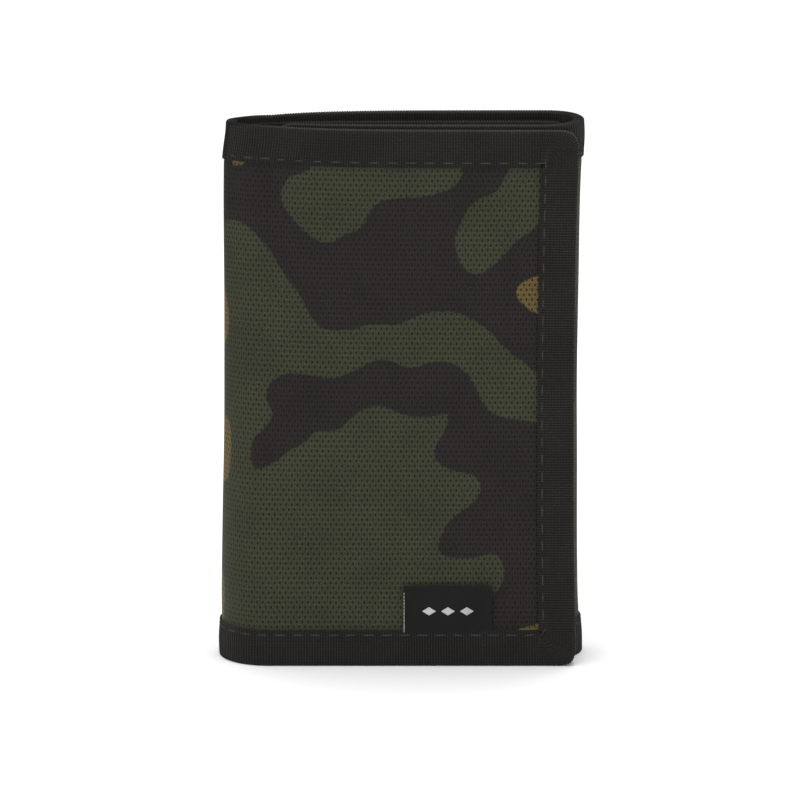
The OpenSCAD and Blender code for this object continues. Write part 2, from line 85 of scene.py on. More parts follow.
class Wiring:
    """Short-hand for a material's nodes."""

    def __init__(self, name: str) -> None:
        """Starts a material with one Principled shader."""
        self.material = bpy.data.materials.new(name)
        self.material.use_nodes = True
        self.tree = self.material.node_tree
        self.shader = self.tree.nodes["Principled BSDF"]

    def plug(self, socket: bpy.types.NodeSocket, value: object) -> None:
        """Links a socket, or sets its value."""
        if isinstance(value, bpy.types.NodeSocket):
            self.tree.links.new(value, socket)
        elif value is not None:
            socket.default_value = value

    def math(self, kind: str, a: object, b: object = None) -> bpy.types.NodeSocket:
        """A Math node's result.

        Args:
            kind: the node's operation.
            a, b: its two numbers or sockets.

        Returns:
            The result's socket.
        """
        node = self.tree.nodes.new("ShaderNodeMath")
        node.operation = kind
        self.plug(node.inputs[0], a)
        self.plug(node.inputs[1], b)
        return node.outputs[0]

    def mix(self, share: object, a: object, b: object, kind: str = "MIX") -> bpy.types.NodeSocket:
        """Two colours mixed by a share.

        Args:
            share: how much of the second, from 0 to 1.
            a, b: the colours.
            kind: the way they mix.

        Returns:
            The colour's socket.
        """
        node = self.tree.nodes.new("ShaderNodeMix")
        node.data_type = "RGBA"
        node.blend_type = kind
        self.plug(node.inputs["Factor"], share)
        self.plug(node.inputs[6], a)
        self.plug(node.inputs[7], b)
        return node.outputs[2]

    def step(
        self, value: object, low: float, high: float, start: float = 0.0, end: float = 1.0
    ) -> bpy.types.NodeSocket:
        """A smooth step.

        Args:
            value: what drives it.
            low, high: the values between which it steps.
            start, end: its results before and after.

        Returns:
            The result's socket.
        """
        node = self.tree.nodes.new("ShaderNodeMapRange")
        node.interpolation_type = "SMOOTHSTEP"
        self.plug(node.inputs[0], value)
        for i, x in enumerate((low, high, start, end), 1):
            node.inputs[i].default_value = x
        return node.outputs[0]

    def noise(self, place: object, scale: float, detail: float = 2.0) -> bpy.types.NodeSocket:
        """Noise from 0 to 1.

        Args:
            place: where it is read, in millimetres.
            scale: its lumps for each millimetre.
            detail: how much finer noise it holds.

        Returns:
            The noise's socket.
        """
        node = self.tree.nodes.new("ShaderNodeTexNoise")
        self.plug(node.inputs["Vector"], place)
        node.inputs["Scale"].default_value = scale
        node.inputs["Detail"].default_value = detail
        return node.outputs["Fac"]

    def in_mm(self, socket: bpy.types.NodeSocket) -> bpy.types.NodeSocket:
        """A place in metres, given in millimetres."""
        node = self.tree.nodes.new("ShaderNodeVectorMath")
        node.operation = "SCALE"
        self.plug(node.inputs[0], socket)
        node.inputs["Scale"].default_value = 1 / MM
        return node.outputs[0]

    def cloth_place(self) -> bpy.types.NodeSocket:
        """The piece's own cloth coordinates, in millimetres."""
        node = self.tree.nodes.new("ShaderNodeUVMap")
        node.uv_map = CLOTH_UV
        return self.in_mm(node.outputs[0])

    def object_place(self) -> bpy.types.NodeSocket:
        """Object coordinates, in millimetres."""
        return self.in_mm(self.tree.nodes.new("ShaderNodeTexCoord").outputs["Object"])

    def along_and_across(self, place: bpy.types.NodeSocket) -> tuple[bpy.types.NodeSocket, ...]:
        """The two cloth coordinates of a place by themselves."""
        node = self.tree.nodes.new("ShaderNodeSeparateXYZ")
        self.plug(node.inputs[0], place)
        return node.outputs[0], node.outputs[1]

    def wave(self, value: bpy.types.NodeSocket, pitch: float) -> bpy.types.NodeSocket:
        """A cosine that comes round after twice the pitch."""
        return self.math("COSINE", self.math("MULTIPLY", value, math.pi / pitch))

    def attribute(self, name: str) -> bpy.types.NodeSocket:
        """A number kept on the mesh."""
        node = self.tree.nodes.new("ShaderNodeAttribute")
        node.attribute_name = name
        return node.outputs["Fac"]

    def bump(self, height: object, depth: float) -> None:
        """Raises the surface.

        Args:
            height: how high each spot is.
            depth: what a height of one comes to, in metres.
        """
        node = self.tree.nodes.new("ShaderNodeBump")
        node.inputs["Strength"].default_value = 1.0
        node.inputs["Distance"].default_value = depth
        self.plug(node.inputs["Height"], height)
        self.plug(self.shader.inputs["Normal"], node.outputs[0])

    def constant(self, **values: object) -> None:
        """Sets the shader's own sockets, named with underscores."""
        for key, value in values.items():
            self.shader.inputs[key.replace("_", " ")].default_value = value


Colour = tuple[float, float, float, float]


def shade(red: float, green: float, blue: float) -> Colour:
    """A screen colour from 0 to 255 as a linear one."""
    return tuple(((x / 255 + 0.055) / 1.055) ** 2.4 for x in (red, green, blue)) + (1.0,)


@dataclass(frozen=True)
class PrintedCanvas:
    """Coarse canvas with small open holes and a print in three colours.

    Args (fields):
        green, dark, ochre: the print's colours.
        shadow: the colour in the holes.
        worn: what the ground is multiplied by where it has worn.
        glint: what a raised yarn is multiplied by.
        hole_pitch, row_pitch: half the distance between holes and between rows, in mm.
        relief: how high the weave stands.
    """

    green: Colour = shade(50, 52, 38)
    dark: Colour = shade(33, 30, 29)
    ochre: Colour = shade(88, 75, 43)
    shadow: Colour = shade(12, 13, 6)
    worn: Colour = shade(186, 184, 180)
    glint: Colour = (2.3, 2.3, 2.4, 1.0)
    hole_pitch: float = 0.65
    row_pitch: float = 1.16
    relief: float = 0.16 * MM

    def material(self) -> bpy.types.Material:
        """Wires the ragged print, the open holes and the raised yarn.

        Returns:
            The canvas's material.
        """
        w = Wiring("printed_canvas")
        place = w.cloth_place()
        s, z = w.along_and_across(place)
        ragged = w.math("MULTIPLY", w.math("SUBTRACT", w.noise(place, 1.3), 0.5), 1.1)
        dark = w.step(w.math("ADD", w.attribute("dark"), ragged), -0.3, 0.3)
        ochre = w.step(w.math("ADD", w.attribute("ochre"), ragged), -0.25, 0.25)
        colour = w.mix(ochre, w.mix(dark, self.green, self.dark), self.ochre)
        weave = w.math("MULTIPLY", w.wave(s, self.hole_pitch), w.wave(z, self.row_pitch))
        uneven = w.step(w.noise(place, 2.1), 0.2, 0.8, -0.12, 0.12)
        hole = w.step(w.math("ADD", weave, uneven), 0.5, 0.86)
        yarn = w.noise(place, 3.2, 3.0)
        worn = w.noise(w.object_place(), 0.09, 3.0)
        bright = w.mix(1.0, colour, self.glint, "MULTIPLY")
        between = w.math("SUBTRACT", 1.0, w.math("ABSOLUTE", weave))
        crest = w.math("MULTIPLY", w.step(yarn, 0.42, 0.72), between)
        colour = w.mix(w.math("MULTIPLY", crest, 0.85), colour, bright)
        faded = w.mix(1.0, colour, self.worn, "MULTIPLY")
        colour = w.mix(w.step(worn, 0.35, 0.7, 0.0, 0.3), colour, faded)
        colour = w.mix(w.math("MULTIPLY", hole, 0.85), colour, self.shadow)
        w.plug(w.shader.inputs["Base Color"], colour)
        w.plug(w.shader.inputs["Roughness"], w.step(yarn, 0.2, 0.8, 0.74, 0.93))
        w.constant(Specular_IOR_Level=0.15, Sheen_Weight=0.04, Sheen_Roughness=0.5)
        relief = w.math("SUBTRACT", w.math("MULTIPLY", w.math("ABSOLUTE", weave), -0.35), hole)
        w.bump(w.math("ADD", relief, w.math("MULTIPLY", yarn, 0.5)), self.relief)
        return w.material


@dataclass(frozen=True)
class WovenCloth:
    """Plain woven cloth or tape in one colour.

    Args (fields):
        name: the material's name.
        colour, light: the cloth's colour, and a painted highlight on the yarns' crests.
        warp_pitch, weft_pitch: half the distance between yarns each way, in mm.
        relief: how high the yarns stand, in mm.
        roughness, gloss, sheen: how its surface shines.
        twist: how fine the yarns' own grain is.
        ribbed: whether the cross yarns only show faintly, as on a ribbed tape.
        worn: what the colour is multiplied by where it has worn.
    """

    name: str
    colour: Colour
    light: Colour
    warp_pitch: float
    weft_pitch: float
    relief: float
    roughness: float = 0.85
    gloss: float = 0.12
    sheen: float = 0.05
    twist: float = 1.0
    ribbed: bool = False
    worn: Colour = shade(178, 176, 174)

    def material(self) -> bpy.types.Material:
        """Wires the yarns, the painted highlight on their crests and the worn patches.

        Returns:
            The cloth's material.
        """
        w = Wiring(self.name)
        place = w.cloth_place()
        s, z = w.along_and_across(place)
        rows, cross = w.wave(s, self.warp_pitch), w.wave(z, self.weft_pitch)
        if self.ribbed:
            picks = w.math("ADD", w.math("MULTIPLY", cross, 0.35), 0.75)
            weave = w.math("MULTIPLY", rows, picks)
        else:
            weave = w.math("MULTIPLY", rows, cross)
        yarn = w.noise(place, 2.6 * self.twist, 3.0)
        worn = w.noise(w.object_place(), 0.11, 3.0)
        # Painted highlight: the yarns' crests take the lighter colour.
        crest = w.step(w.math("ADD", weave, w.step(yarn, 0.2, 0.8, -0.5, 0.5)), 0.1, 1.1, 0.0, 0.55)
        colour = w.mix(crest, self.colour, self.light)
        faded = w.mix(1.0, colour, self.worn, "MULTIPLY")
        colour = w.mix(w.step(worn, 0.3, 0.75, 0.0, 0.35), colour, faded)
        w.plug(w.shader.inputs["Base Color"], colour)
        w.plug(
            w.shader.inputs["Roughness"],
            w.step(yarn, 0.2, 0.8, self.roughness - 0.08, min(1.0, self.roughness + 0.08)),
        )
        w.constant(Specular_IOR_Level=self.gloss, Sheen_Weight=self.sheen, Sheen_Roughness=0.5)
        w.bump(w.math("ADD", weave, yarn), self.relief * MM)
        return w.material


@dataclass(frozen=True)
class SolidFinish:
    """Metal, board, thread, plastic or film in one colour, with fine scratches or grain.

    Args (fields):
        name: the material's name.
        colour, light: its darkest and lightest shade.
        roughness, metallic: how its surface shines.
        relief: how high its grain stands, in mm.
        grain: the grain's lumps for each millimetre.
        alpha: how much it covers.
    """

    name: str
    colour: Colour
    light: Colour
    roughness: float
    metallic: float = 0.0
    relief: float = 0.02
    grain: float = 0.8
    alpha: float = 1.0

    def material(self) -> bpy.types.Material:
        """Wires the grain and the slow change of shine.

        Returns:
            The finish's material.
        """
        w = Wiring(self.name)
        place = w.object_place()
        fine, broad = w.noise(place, self.grain, 4.0), w.noise(place, 0.12, 2.0)
        colour = w.mix(w.step(fine, 0.35, 0.75), self.colour, self.light)
        w.plug(w.shader.inputs["Base Color"], colour)
        w.plug(
            w.shader.inputs["Roughness"],
            w.step(broad, 0.3, 0.7, max(0.04, self.roughness - 0.07), self.roughness + 0.07),
        )
        w.constant(Metallic=self.metallic, Alpha=self.alpha)
        w.bump(fine, self.relief * MM)
        return w.material


class Finishes:
    """Every finish on the wallet, as materials."""

    def __init__(self) -> None:
        """Makes the materials once."""
        # Each woven cloth's second colour is a painted highlight on its yarn crests.
        dark_tape, tape_crest_highlight = shade(28, 26, 25), shade(64, 61, 58)
        self.canvas = PrintedCanvas().material()
        self.tape = WovenCloth(
            "binding_tape", dark_tape, tape_crest_highlight, 0.31, 0.36, 0.06, ribbed=True
        ).material()
        self.lining = WovenCloth(
            "lining", shade(38, 36, 30), shade(54, 52, 44), 0.22, 0.22, 0.03, 0.7, 0.2
        ).material()
        self.fabric = WovenCloth(
            "inner_fabric", shade(34, 33, 33), shade(54, 53, 53), 0.28, 0.28, 0.05, 0.75, 0.15
        ).material()
        self.satin = WovenCloth(
            "label_satin", shade(22, 22, 23), shade(30, 30, 32), 0.16, 0.5, 0.015, 0.55, 0.1,
            twist=2.0,
        ).material()
        self.mark = WovenCloth(
            "label_mark", shade(190, 190, 188), shade(226, 226, 224), 0.2, 0.2, 0.03
        ).material()
        self.thread = SolidFinish(
            "thread", shade(26, 25, 24), shade(46, 44, 42), 0.7, grain=3.0, relief=0.05
        ).material()
        self.pale_thread = SolidFinish(
            "pale_thread", shade(150, 148, 142), shade(190, 188, 182), 0.7, grain=3.0, relief=0.05
        ).material()
        self.board = SolidFinish(
            "board", shade(214, 208, 190), shade(226, 221, 206), 0.9, grain=0.5, relief=0.05
        ).material()
        self.film = SolidFinish(
            "clear_vinyl", shade(225, 228, 230), shade(235, 238, 240), 0.15, relief=0.01,
            grain=0.2, alpha=0.22,
        ).material()
        self.hook = SolidFinish(
            "hook", shade(26, 26, 27), shade(48, 48, 50), 0.45, grain=2.0
        ).material()
        self.loop = SolidFinish(
            "loop", shade(28, 27, 28), shade(54, 53, 54), 0.95, grain=1.6, relief=0.2
        ).material()
        self.metal = SolidFinish(
            "zip_metal", shade(168, 164, 154), shade(206, 202, 192), 0.32, 1.0, 0.01, 1.4
        ).material()


# ---- The strip --------------------------------------------------------------------


@dataclass(frozen=True)
class FoldedPath:
    """A sheet's way round both folds, seen from above.

    Args (fields):
        left_x, left_y, left_r: the left fold's centre, and the outer face's radius.
        right_x, right_y, right_r: the same for the right fold.
        middle: depth of the cloth's middle, along which the strip is measured.
    """

    left_x: float
    left_y: float
    left_r: float
    right_x: float
    right_y: float
    right_r: float
    middle: float

    @property
    def left_end(self) -> float:
        """Where the left fold ends and the back begins."""
        return self.left_x - math.pi * (self.left_r - self.middle)

    @property
    def back_end(self) -> float:
        """Where the back ends and the right fold begins."""
        return self.left_end - (self.right_x - self.left_x)

    @property
    def right_end(self) -> float:
        """Where the right fold ends and the inner panel begins."""
        return self.back_end - math.pi * (self.right_r - self.middle)

    @property
    def left_mid(self) -> float:
        """The middle of the left fold."""
        return (self.left_x + self.left_end) / 2

    @property
    def back_mid(self) -> float:
        """The middle of the back."""
        return (self.left_end + self.back_end) / 2

    @property
    def right_mid(self) -> float:
        """The middle of the right fold."""
        return (self.back_end + self.right_end) / 2

    def inner_edge(self, x: float) -> float:
        """The strip's place at x on the inner panel."""
        return self.right_end - (self.right_x - x)

    def turn(self, s: np.ndarray) -> np.ndarray:
        """How far round its fold a place is.

        Args:
            s: places along the strip.

        Returns:
            The turn from the front, in radians.
        """
        left = np.clip((self.left_x - s) / (self.left_r - self.middle), 0, math.pi)
        right = np.clip((s - self.right_end) / (self.right_r - self.middle), 0, math.pi)
        return np.where(s > self.back_mid, left, right)

    def point(self, s: np.ndarray, z: np.ndarray, d: np.ndarray) -> np.ndarray:
        """Where places on the strip lie.

        Args:
            s: places along the strip.
            z: heights.
            d: depths from the shell's outer face.

        Returns:
            Their places in the frame, in metres.
        """
        s, z, d = np.broadcast_arrays(*(np.asarray(a, float) for a in (s, z, d)))
        a = self.turn(s)
        left = s > self.back_mid
        run = np.where(
            left,
            np.maximum(s - self.left_x, 0) + np.maximum(self.left_end - s, 0),
            -np.maximum(self.right_end - s, 0) - np.maximum(s - self.back_end, 0),
        )
        r = np.where(left, self.left_r, self.right_r) - d
        x = np.where(left, self.left_x - r * np.sin(a), self.right_x + r * np.sin(a)) + run
        y = np.where(left, self.left_y, self.right_y) - r * np.cos(a)
        return np.stack([x, y, z], -1)

    def ends(self, zone: Zone, thick: float) -> tuple[tuple[float, ...], tuple[float, ...]]:
        """Where a zone's bend starts and ends.

        Args:
            zone: the zone.
            thick: depth of the sheet's inner face.

        Returns:
            The two places between which the sheet turns.
        """
        left, right = (self.left_x, self.left_y), (self.right_x, self.right_y)
        margin, least = thick + 2.0 * MM, 1.0 * MM
        left_out = self.left_x - (self.left_r - margin)
        right_out = self.right_x + max(self.right_r - margin, least)
        start, end = {
            Zone.FRONT: ((left_out, left[1]), left),
            Zone.BACK_LEFT: (left, (left_out, left[1])),
            Zone.BACK_RIGHT: (right, (right_out, right[1])),
            Zone.INNER: ((right_out, right[1]), right),
        }[zone]
        return (*start, 0.0), (*end, 0.0)

    def span(self, zone: Zone, first: float, last: float) -> tuple[float, float]:
        """A zone's two ends on the strip.

        Args:
            zone: the zone.
            first, last: the strip's own ends, at the front and at the inner panel.

        Returns:
            The ends, lower one first.
        """
        return {
            Zone.FRONT: (self.left_mid, first),
            Zone.BACK_LEFT: (self.back_mid, self.left_mid),
            Zone.BACK_RIGHT: (self.right_mid, self.back_mid),
            Zone.INNER: (last, self.right_mid),
        }[zone]


# ---- Meshes -----------------------------------------------------------------------


def smooth(x: np.ndarray | float) -> np.ndarray | float:
    """A smooth step of a share from 0 to 1."""
    x = np.clip(x, 0, 1)
    return x * x * (3 - 2 * x)


@dataclass(frozen=True)
class Settling:
    """How the empty compartments close towards the upper end of the left fold.

    Args (fields):
        depth: how far a face moves in at the fold's top.
        from_x: the fold's middle, where the full depth begins.
        reach: the width over which it fades.
        core: half the depth in which the sheets close up.
        low, high: heights where the closing begins and is complete.
        waist: how far the sides draw in at half height.
        shoulder: how far the left side draws in at the upper corner.
        left_waist_top: height where the left side's waist is complete.
        shoulder_low: height where the shoulder and the right side's waist end.
        shoulder_rise: height in which the shoulder draws in.
        fullness: how square the right side's waist is; 1 is a plain wave.
        half_width: half the wallet's width.
        half: half the wallet's depth.
    """

    depth: float = 5.0 * MM
    from_x: float = -31.0 * MM
    reach: float = 12.0 * MM
    core: float = 6.5 * MM
    low: float = 10.0 * MM
    high: float = 118.0 * MM
    half: float = 11.575 * MM
    waist: float = 0.85 * MM
    shoulder: float = 1.1 * MM
    left_waist_top: float = 80 * MM
    shoulder_low: float = 116 * MM
    shoulder_rise: float = 9 * MM
    fullness: float = 0.7
    half_width: float = 42.0 * MM

    def __call__(self, place: np.ndarray) -> np.ndarray:
        """Moves places as the empty wallet closes.

        Args:
            place: places in the frame.

        Returns:
            The same places after the closing.
        """
        place = np.array(place, float)
        x, y, z = place[..., 0], place[..., 1], place[..., 2]
        fade = np.exp(-np.maximum(x - self.from_x, 0) / self.reach)
        rise = smooth((z - self.low) / (self.high - self.low))
        pull = np.tanh(y / self.core) / math.tanh(self.half / self.core)
        pull = pull * np.abs(pull)
        corner = smooth((z - self.shoulder_low) / self.shoulder_rise)
        left = self.waist * smooth(z / self.left_waist_top) + self.shoulder * corner
        swell = np.sin(math.pi * np.clip(z / self.shoulder_low, 0, 1)) ** self.fullness
        right = self.waist * swell
        share = x / self.half_width
        place[..., 1] = y - self.depth * fade * rise * pull
        place[..., 0] = x - np.where(x < 0, left, right) * share
        return place


SETTLE = Settling()


def in_scene(name: str, data: bpy.types.ID) -> bpy.types.Object:
    """An object with that data, linked into the scene."""
    made = bpy.data.objects.new(name, data)
    bpy.context.scene.collection.objects.link(made)
    return made


def face_outwards(mesh: bpy.types.Mesh) -> None:
    """Turns every face of a closed mesh outwards."""
    body = bmesh.new()
    body.from_mesh(mesh)
    bmesh.ops.recalc_face_normals(body, faces=body.faces)
    body.to_mesh(mesh)
    body.free()


def new_piece(
    name: str,
    points: np.ndarray,
    faces: Sequence[Sequence[int]],
    cloth: np.ndarray | None,
    material: bpy.types.Material,
    fields: dict[str, np.ndarray] | None = None,
    sharp: float = 40.0,
    settle: bool = True,
) -> bpy.types.Object:
    """A finished mesh object, its faces pointing outwards.

    Args:
        name: the piece's name.
        points: its vertices, in the row frame before the wallet has settled.
        faces: vertex numbers of each face.
        cloth: cloth coordinates of each vertex; X and Z where it is None.
        material: its finish.
        fields: numbers kept on the vertices, by name.
        sharp: faces that meet at more than this angle, in degrees, keep a hard edge.
        settle: whether it settles with the cloth.

    Returns:
        The object, linked into the scene.
    """
    points = np.asarray(points, float).reshape(-1, 3)
    cloth = points[:, [0, 2]] if cloth is None else np.asarray(cloth, float).reshape(-1, 2)
    mesh = bpy.data.meshes.new(name)
    placed = SETTLE(points) if settle else points
    mesh.from_pydata(placed.tolist(), [], [tuple(map(int, f)) for f in faces])
    face_outwards(mesh)
    layer = mesh.uv_layers.new(name=CLOTH_UV)
    corner = np.zeros(len(mesh.loops), int)
    mesh.loops.foreach_get("vertex_index", corner)
    layer.data.foreach_set("uv", cloth[corner].astype(np.float32).ravel())
    for key, values in (fields or {}).items():
        mesh.attributes.new(key, "FLOAT", "POINT").data.foreach_set(
            "value", np.asarray(values, np.float32).ravel()
        )
    mesh.polygons.foreach_set("use_smooth", np.ones(len(mesh.polygons), bool))
    mesh.set_sharp_from_angle(angle=math.radians(sharp))
    mesh.materials.append(material)
    return in_scene(name, mesh)


def piece_of(
    body: bmesh.types.BMesh, name: str, material: bpy.types.Material, settle: bool = True
) -> bpy.types.Object:
    """A finished piece with a body's faces; the body is freed.

    Args:
        body: the body.
        name: the piece's name.
        material: its finish.
        settle: whether it settles with the cloth.

    Returns:
        The piece.
    """
    points = np.array([v.co for v in body.verts])
    faces = [[v.index for v in f.verts] for f in body.faces]
    body.free()
    return new_piece(name, points, faces, None, material, settle=settle)


def loft_faces(rings: int, around: int) -> list[tuple[int, ...]]:
    """Faces of a closed tube of rings, with its two ends.

    Args:
        rings: how many rings it has.
        around: how many points each ring has.

    Returns:
        The vertex numbers of each face.
    """
    i, j = np.meshgrid(np.arange(rings - 1), np.arange(around), indexing="ij")
    k = (j + 1) % around
    near, far = i * around, (i + 1) * around
    quads = np.stack([near + j, near + k, far + k, far + j], -1)
    faces = [tuple(f) for f in quads.reshape(-1, 4)]
    return faces + [tuple(range(around)), tuple(range((rings - 1) * around, rings * around))]


def steps(first: float, last: float, size: float) -> np.ndarray:
    """Evenly spaced values from first to last, about size apart."""
    return np.linspace(first, last, max(2, int(round(abs(last - first) / size)) + 1))


def slab(
    name: str,
    low: Sequence[float],
    high: Sequence[float],
    soften: float,
    material: bpy.types.Material,
) -> bpy.types.Object:
    """A block with its edges rounded.

    Args:
        name: the piece's name.
        low, high: two opposite corners.
        soften: how far the edges are rounded.
        material: its finish.

    Returns:
        The block.
    """
    body = bmesh.new()
    bmesh.ops.create_cube(body, size=1.0)
    low, high = np.array(low, float), np.array(high, float)
    for v in body.verts:
        v.co = ((np.array(v.co) + 0.5) * (high - low) + low).tolist()
    bmesh.ops.bevel(
        body, geom=body.edges[:], offset=soften, segments=3, profile=0.6, affect="EDGES"
    )
    return piece_of(body, name, material)


def quilt(
    name: str,
    x: tuple[float, float],
    z: tuple[float, float],
    front: Callable[[np.ndarray, np.ndarray], np.ndarray],
    thick: float,
    material: bpy.types.Material,
    grid: float = 1.5 * MM,
) -> bpy.types.Object:
    """A flat cloth panel whose front face lies at front(x, z).

    Args:
        name: the piece's name.
        x, z: its two ends across and upright.
        front: the depth (Y) of its front face.
        thick: its thickness, away from the front.
        material: its finish.
        grid: the size of its mesh.

    Returns:
        The panel.
    """
    xs, zs = steps(*x, grid), steps(*z, grid)
    across = np.concatenate([zs, zs[::-1]])
    back = np.concatenate([np.zeros(len(zs)), np.ones(len(zs))])
    gx, gz = np.meshgrid(xs, across, indexing="ij")
    points = np.stack([gx, front(gx, gz) + back * thick, gz], -1)
    return new_piece(name, points, loft_faces(len(xs), len(across)), None, material)


class Repeater:
    """Sets copies of a small shape along a line or over a patch with Geometry Nodes."""

    def __init__(self, name: str, seed: int) -> None:
        """Starts a tree with the inputs that every row has."""
        self.name, self.seed = name, seed
        self.tree = bpy.data.node_groups.new(name, "GeometryNodeTree")
        face = self.tree.interface
        face.new_socket("Geometry", in_out="OUTPUT", socket_type="NodeSocketGeometry")
        kinds = {
            "Geometry": "Geometry",
            "Shape": "Object",
            "Pitch": "Float",
            "Size spread": "Float",
            "Finish": "Material",
        }
        self.sockets = {}
        for label, kind in kinds.items():
            socket = face.new_socket(label, in_out="INPUT", socket_type=f"NodeSocket{kind}")
            self.sockets[label] = socket.identifier
        self.start = self.node("NodeGroupInput")

    def node(self, kind: str, **settings: object) -> bpy.types.Node:
        """Adds a node and sets its properties."""
        made = self.tree.nodes.new(kind)
        for key, value in settings.items():
            setattr(made, key, value)
        return made

    def link(self, source: bpy.types.NodeSocket, target: bpy.types.NodeSocket) -> None:
        """Joins two sockets."""
        self.tree.links.new(source, target)

    def finish(self, points: bpy.types.NodeSocket, along: bpy.types.NodeSocket) -> None:
        """Instances the shape on points, Z facing out, and realizes it.

        Args:
            points: the places of the copies.
            along: the way that their X points.
        """
        facing = self.node("GeometryNodeInputNamedAttribute", data_type="FLOAT_VECTOR")
        facing.inputs["Name"].default_value = "facing"
        turn = self.node("FunctionNodeAlignRotationToVector", axis="Z")
        self.link(facing.outputs["Attribute"], turn.inputs["Vector"])
        roll = self.node("FunctionNodeAlignRotationToVector", axis="X", pivot_axis="Z")
        self.link(turn.outputs["Rotation"], roll.inputs["Rotation"])
        self.link(along, roll.inputs["Vector"])
        spread = self.node("FunctionNodeRandomValue", data_type="FLOAT")
        spread.inputs["Seed"].default_value = self.seed
        less, more = (self.node("ShaderNodeMath", operation=k) for k in ("SUBTRACT", "ADD"))
        for edge in (less, more):
            edge.inputs[0].default_value = 1.0
            self.link(self.start.outputs["Size spread"], edge.inputs[1])
        self.link(less.outputs[0], spread.inputs[2])
        self.link(more.outputs[0], spread.inputs[3])
        info = self.node("GeometryNodeObjectInfo")
        self.link(self.start.outputs["Shape"], info.inputs["Object"])
        copies = self.node("GeometryNodeInstanceOnPoints")
        self.link(points, copies.inputs["Points"])
        self.link(info.outputs["Geometry"], copies.inputs["Instance"])
        self.link(roll.outputs["Rotation"], copies.inputs["Rotation"])
        self.link(spread.outputs[1], copies.inputs["Scale"])
        real = self.node("GeometryNodeRealizeInstances")
        self.link(copies.outputs["Instances"], real.inputs["Geometry"])
        paint = self.node("GeometryNodeSetMaterial")
        self.link(real.outputs["Geometry"], paint.inputs["Geometry"])
        self.link(self.start.outputs["Finish"], paint.inputs["Material"])
        end = self.node("NodeGroupOutput")
        self.link(paint.outputs["Geometry"], end.inputs["Geometry"])

    def along_line(self) -> "Repeater":
        """Finishes the tree for one shape at every pitch along a line of edges.

        Returns:
            The repeater itself.
        """
        curve = self.node("GeometryNodeMeshToCurve")
        self.link(self.start.outputs["Geometry"], curve.inputs["Mesh"])
        even = self.node("GeometryNodeResampleCurve", mode="LENGTH")
        self.link(curve.outputs["Curve"], even.inputs["Curve"])
        self.link(self.start.outputs["Pitch"], even.inputs["Length"])
        self.finish(even.outputs["Curve"], self.node("GeometryNodeInputTangent").outputs["Tangent"])
        return self

    def on_points(self) -> "Repeater":
        """Finishes the tree for one shape on every vertex, turned at random as it faces out.

        Returns:
            The repeater itself.
        """
        points = self.node("GeometryNodeMeshToPoints")
        self.link(self.start.outputs["Geometry"], points.inputs["Mesh"])
        spin = self.node("FunctionNodeRandomValue", data_type="FLOAT_VECTOR")
        spin.inputs[0].default_value = (-1.0, -1.0, -1.0)
        spin.inputs["Seed"].default_value = self.seed + 1
        self.finish(points.outputs["Points"], spin.outputs[0])
        return self

    def make(
        self,
        name: str,
        points: np.ndarray,
        facing: np.ndarray,
        shape: bpy.types.Object,
        pitch: float,
        spread: float,
        finish: bpy.types.Material,
        joined: bool = True,
    ) -> bpy.types.Object:
        """Runs the tree and keeps its result as a plain mesh.

        Args:
            name: the piece's name.
            points: the line's or the patch's places.
            facing: the way out of the surface at each place.
            shape: the small shape, X along the row and Z facing out.
            pitch: distance from one copy to the next.
            spread: how much the copies' sizes differ.
            finish: their material.
            joined: whether the places are joined in a line.

        Returns:
            The row of copies as one mesh object.
        """
        points = SETTLE(points)
        edges = [(i, i + 1) for i in range(len(points) - 1)] if joined else []
        mesh = bpy.data.meshes.new(name + "_guide")
        mesh.from_pydata(points.tolist(), edges, [])
        mesh.attributes.new("facing", "FLOAT_VECTOR", "POINT").data.foreach_set(
            "vector", np.broadcast_to(facing, points.shape).astype(np.float32).ravel()
        )
        guide = in_scene(name + "_guide", mesh)
        modifier = guide.modifiers.new("repeat", "NODES")
        modifier.node_group = self.tree
        for label, value in (
            ("Shape", shape), ("Pitch", pitch), ("Size spread", spread), ("Finish", finish)
        ):
            modifier[self.sockets[label]] = value
        bpy.context.view_layer.update()
        result = guide.evaluated_get(bpy.context.evaluated_depsgraph_get())
        real = bpy.data.meshes.new_from_object(result)
        guide.modifiers.clear()
        bpy.data.objects.remove(guide)
        real.name = name
        if not real.materials:
            real.materials.append(finish)
        real.polygons.foreach_set("use_smooth", np.ones(len(real.polygons), bool))
        return in_scene(name, real)


def bead(
    name: str, length: float, width: float, height: float, around: int = 6
) -> bpy.types.Object:
    """A small rounded grain, X along its length, that copies are made from.

    Args:
        name: its name.
        length, width, height: its sizes.
        around: how many sides it has.

    Returns:
        The grain, outside the scene.
    """
    body = bmesh.new()
    bmesh.ops.create_uvsphere(body, u_segments=around, v_segments=5, radius=0.5)
    for v in body.verts:
        x, y, z = v.co
        v.co = (z * length, y * width, x * height)
    bmesh.ops.recalc_face_normals(body, faces=body.faces)
    mesh = bpy.data.meshes.new(name)
    body.to_mesh(mesh)
    body.free()
    return bpy.data.objects.new(name, mesh)


def bent_wire(
    name: str, centre: Callable[[float], tuple[float, float, float]], radius: float, bends: int = 6
) -> bpy.types.Object:
    """A short bent wire of four sides, that copies are made from.

    Args:
        name: its name.
        centre: the wire's middle at each share of its length.
        radius: its half thickness.
        bends: how many short straights it has.

    Returns:
        The wire, outside the scene.
    """
    line = np.array([centre(i / bends) for i in range(bends + 1)])
    ring = np.array([(0, 1, 0), (0.7, 0, 0.7), (0, -1, 0), (-0.7, 0, -0.7)]) * radius
    points = (line[:, None, :] + ring[None]).reshape(-1, 3)
    mesh = bpy.data.meshes.new(name)
    faces = [tuple(map(int, f)) for f in loft_faces(bends + 1, 4)]
    mesh.from_pydata(points.tolist(), [], faces)
    face_outwards(mesh)
    return bpy.data.objects.new(name, mesh)


# ---- The print --------------------------------------------------------------------


Outline = tuple[tuple[float, float], ...]


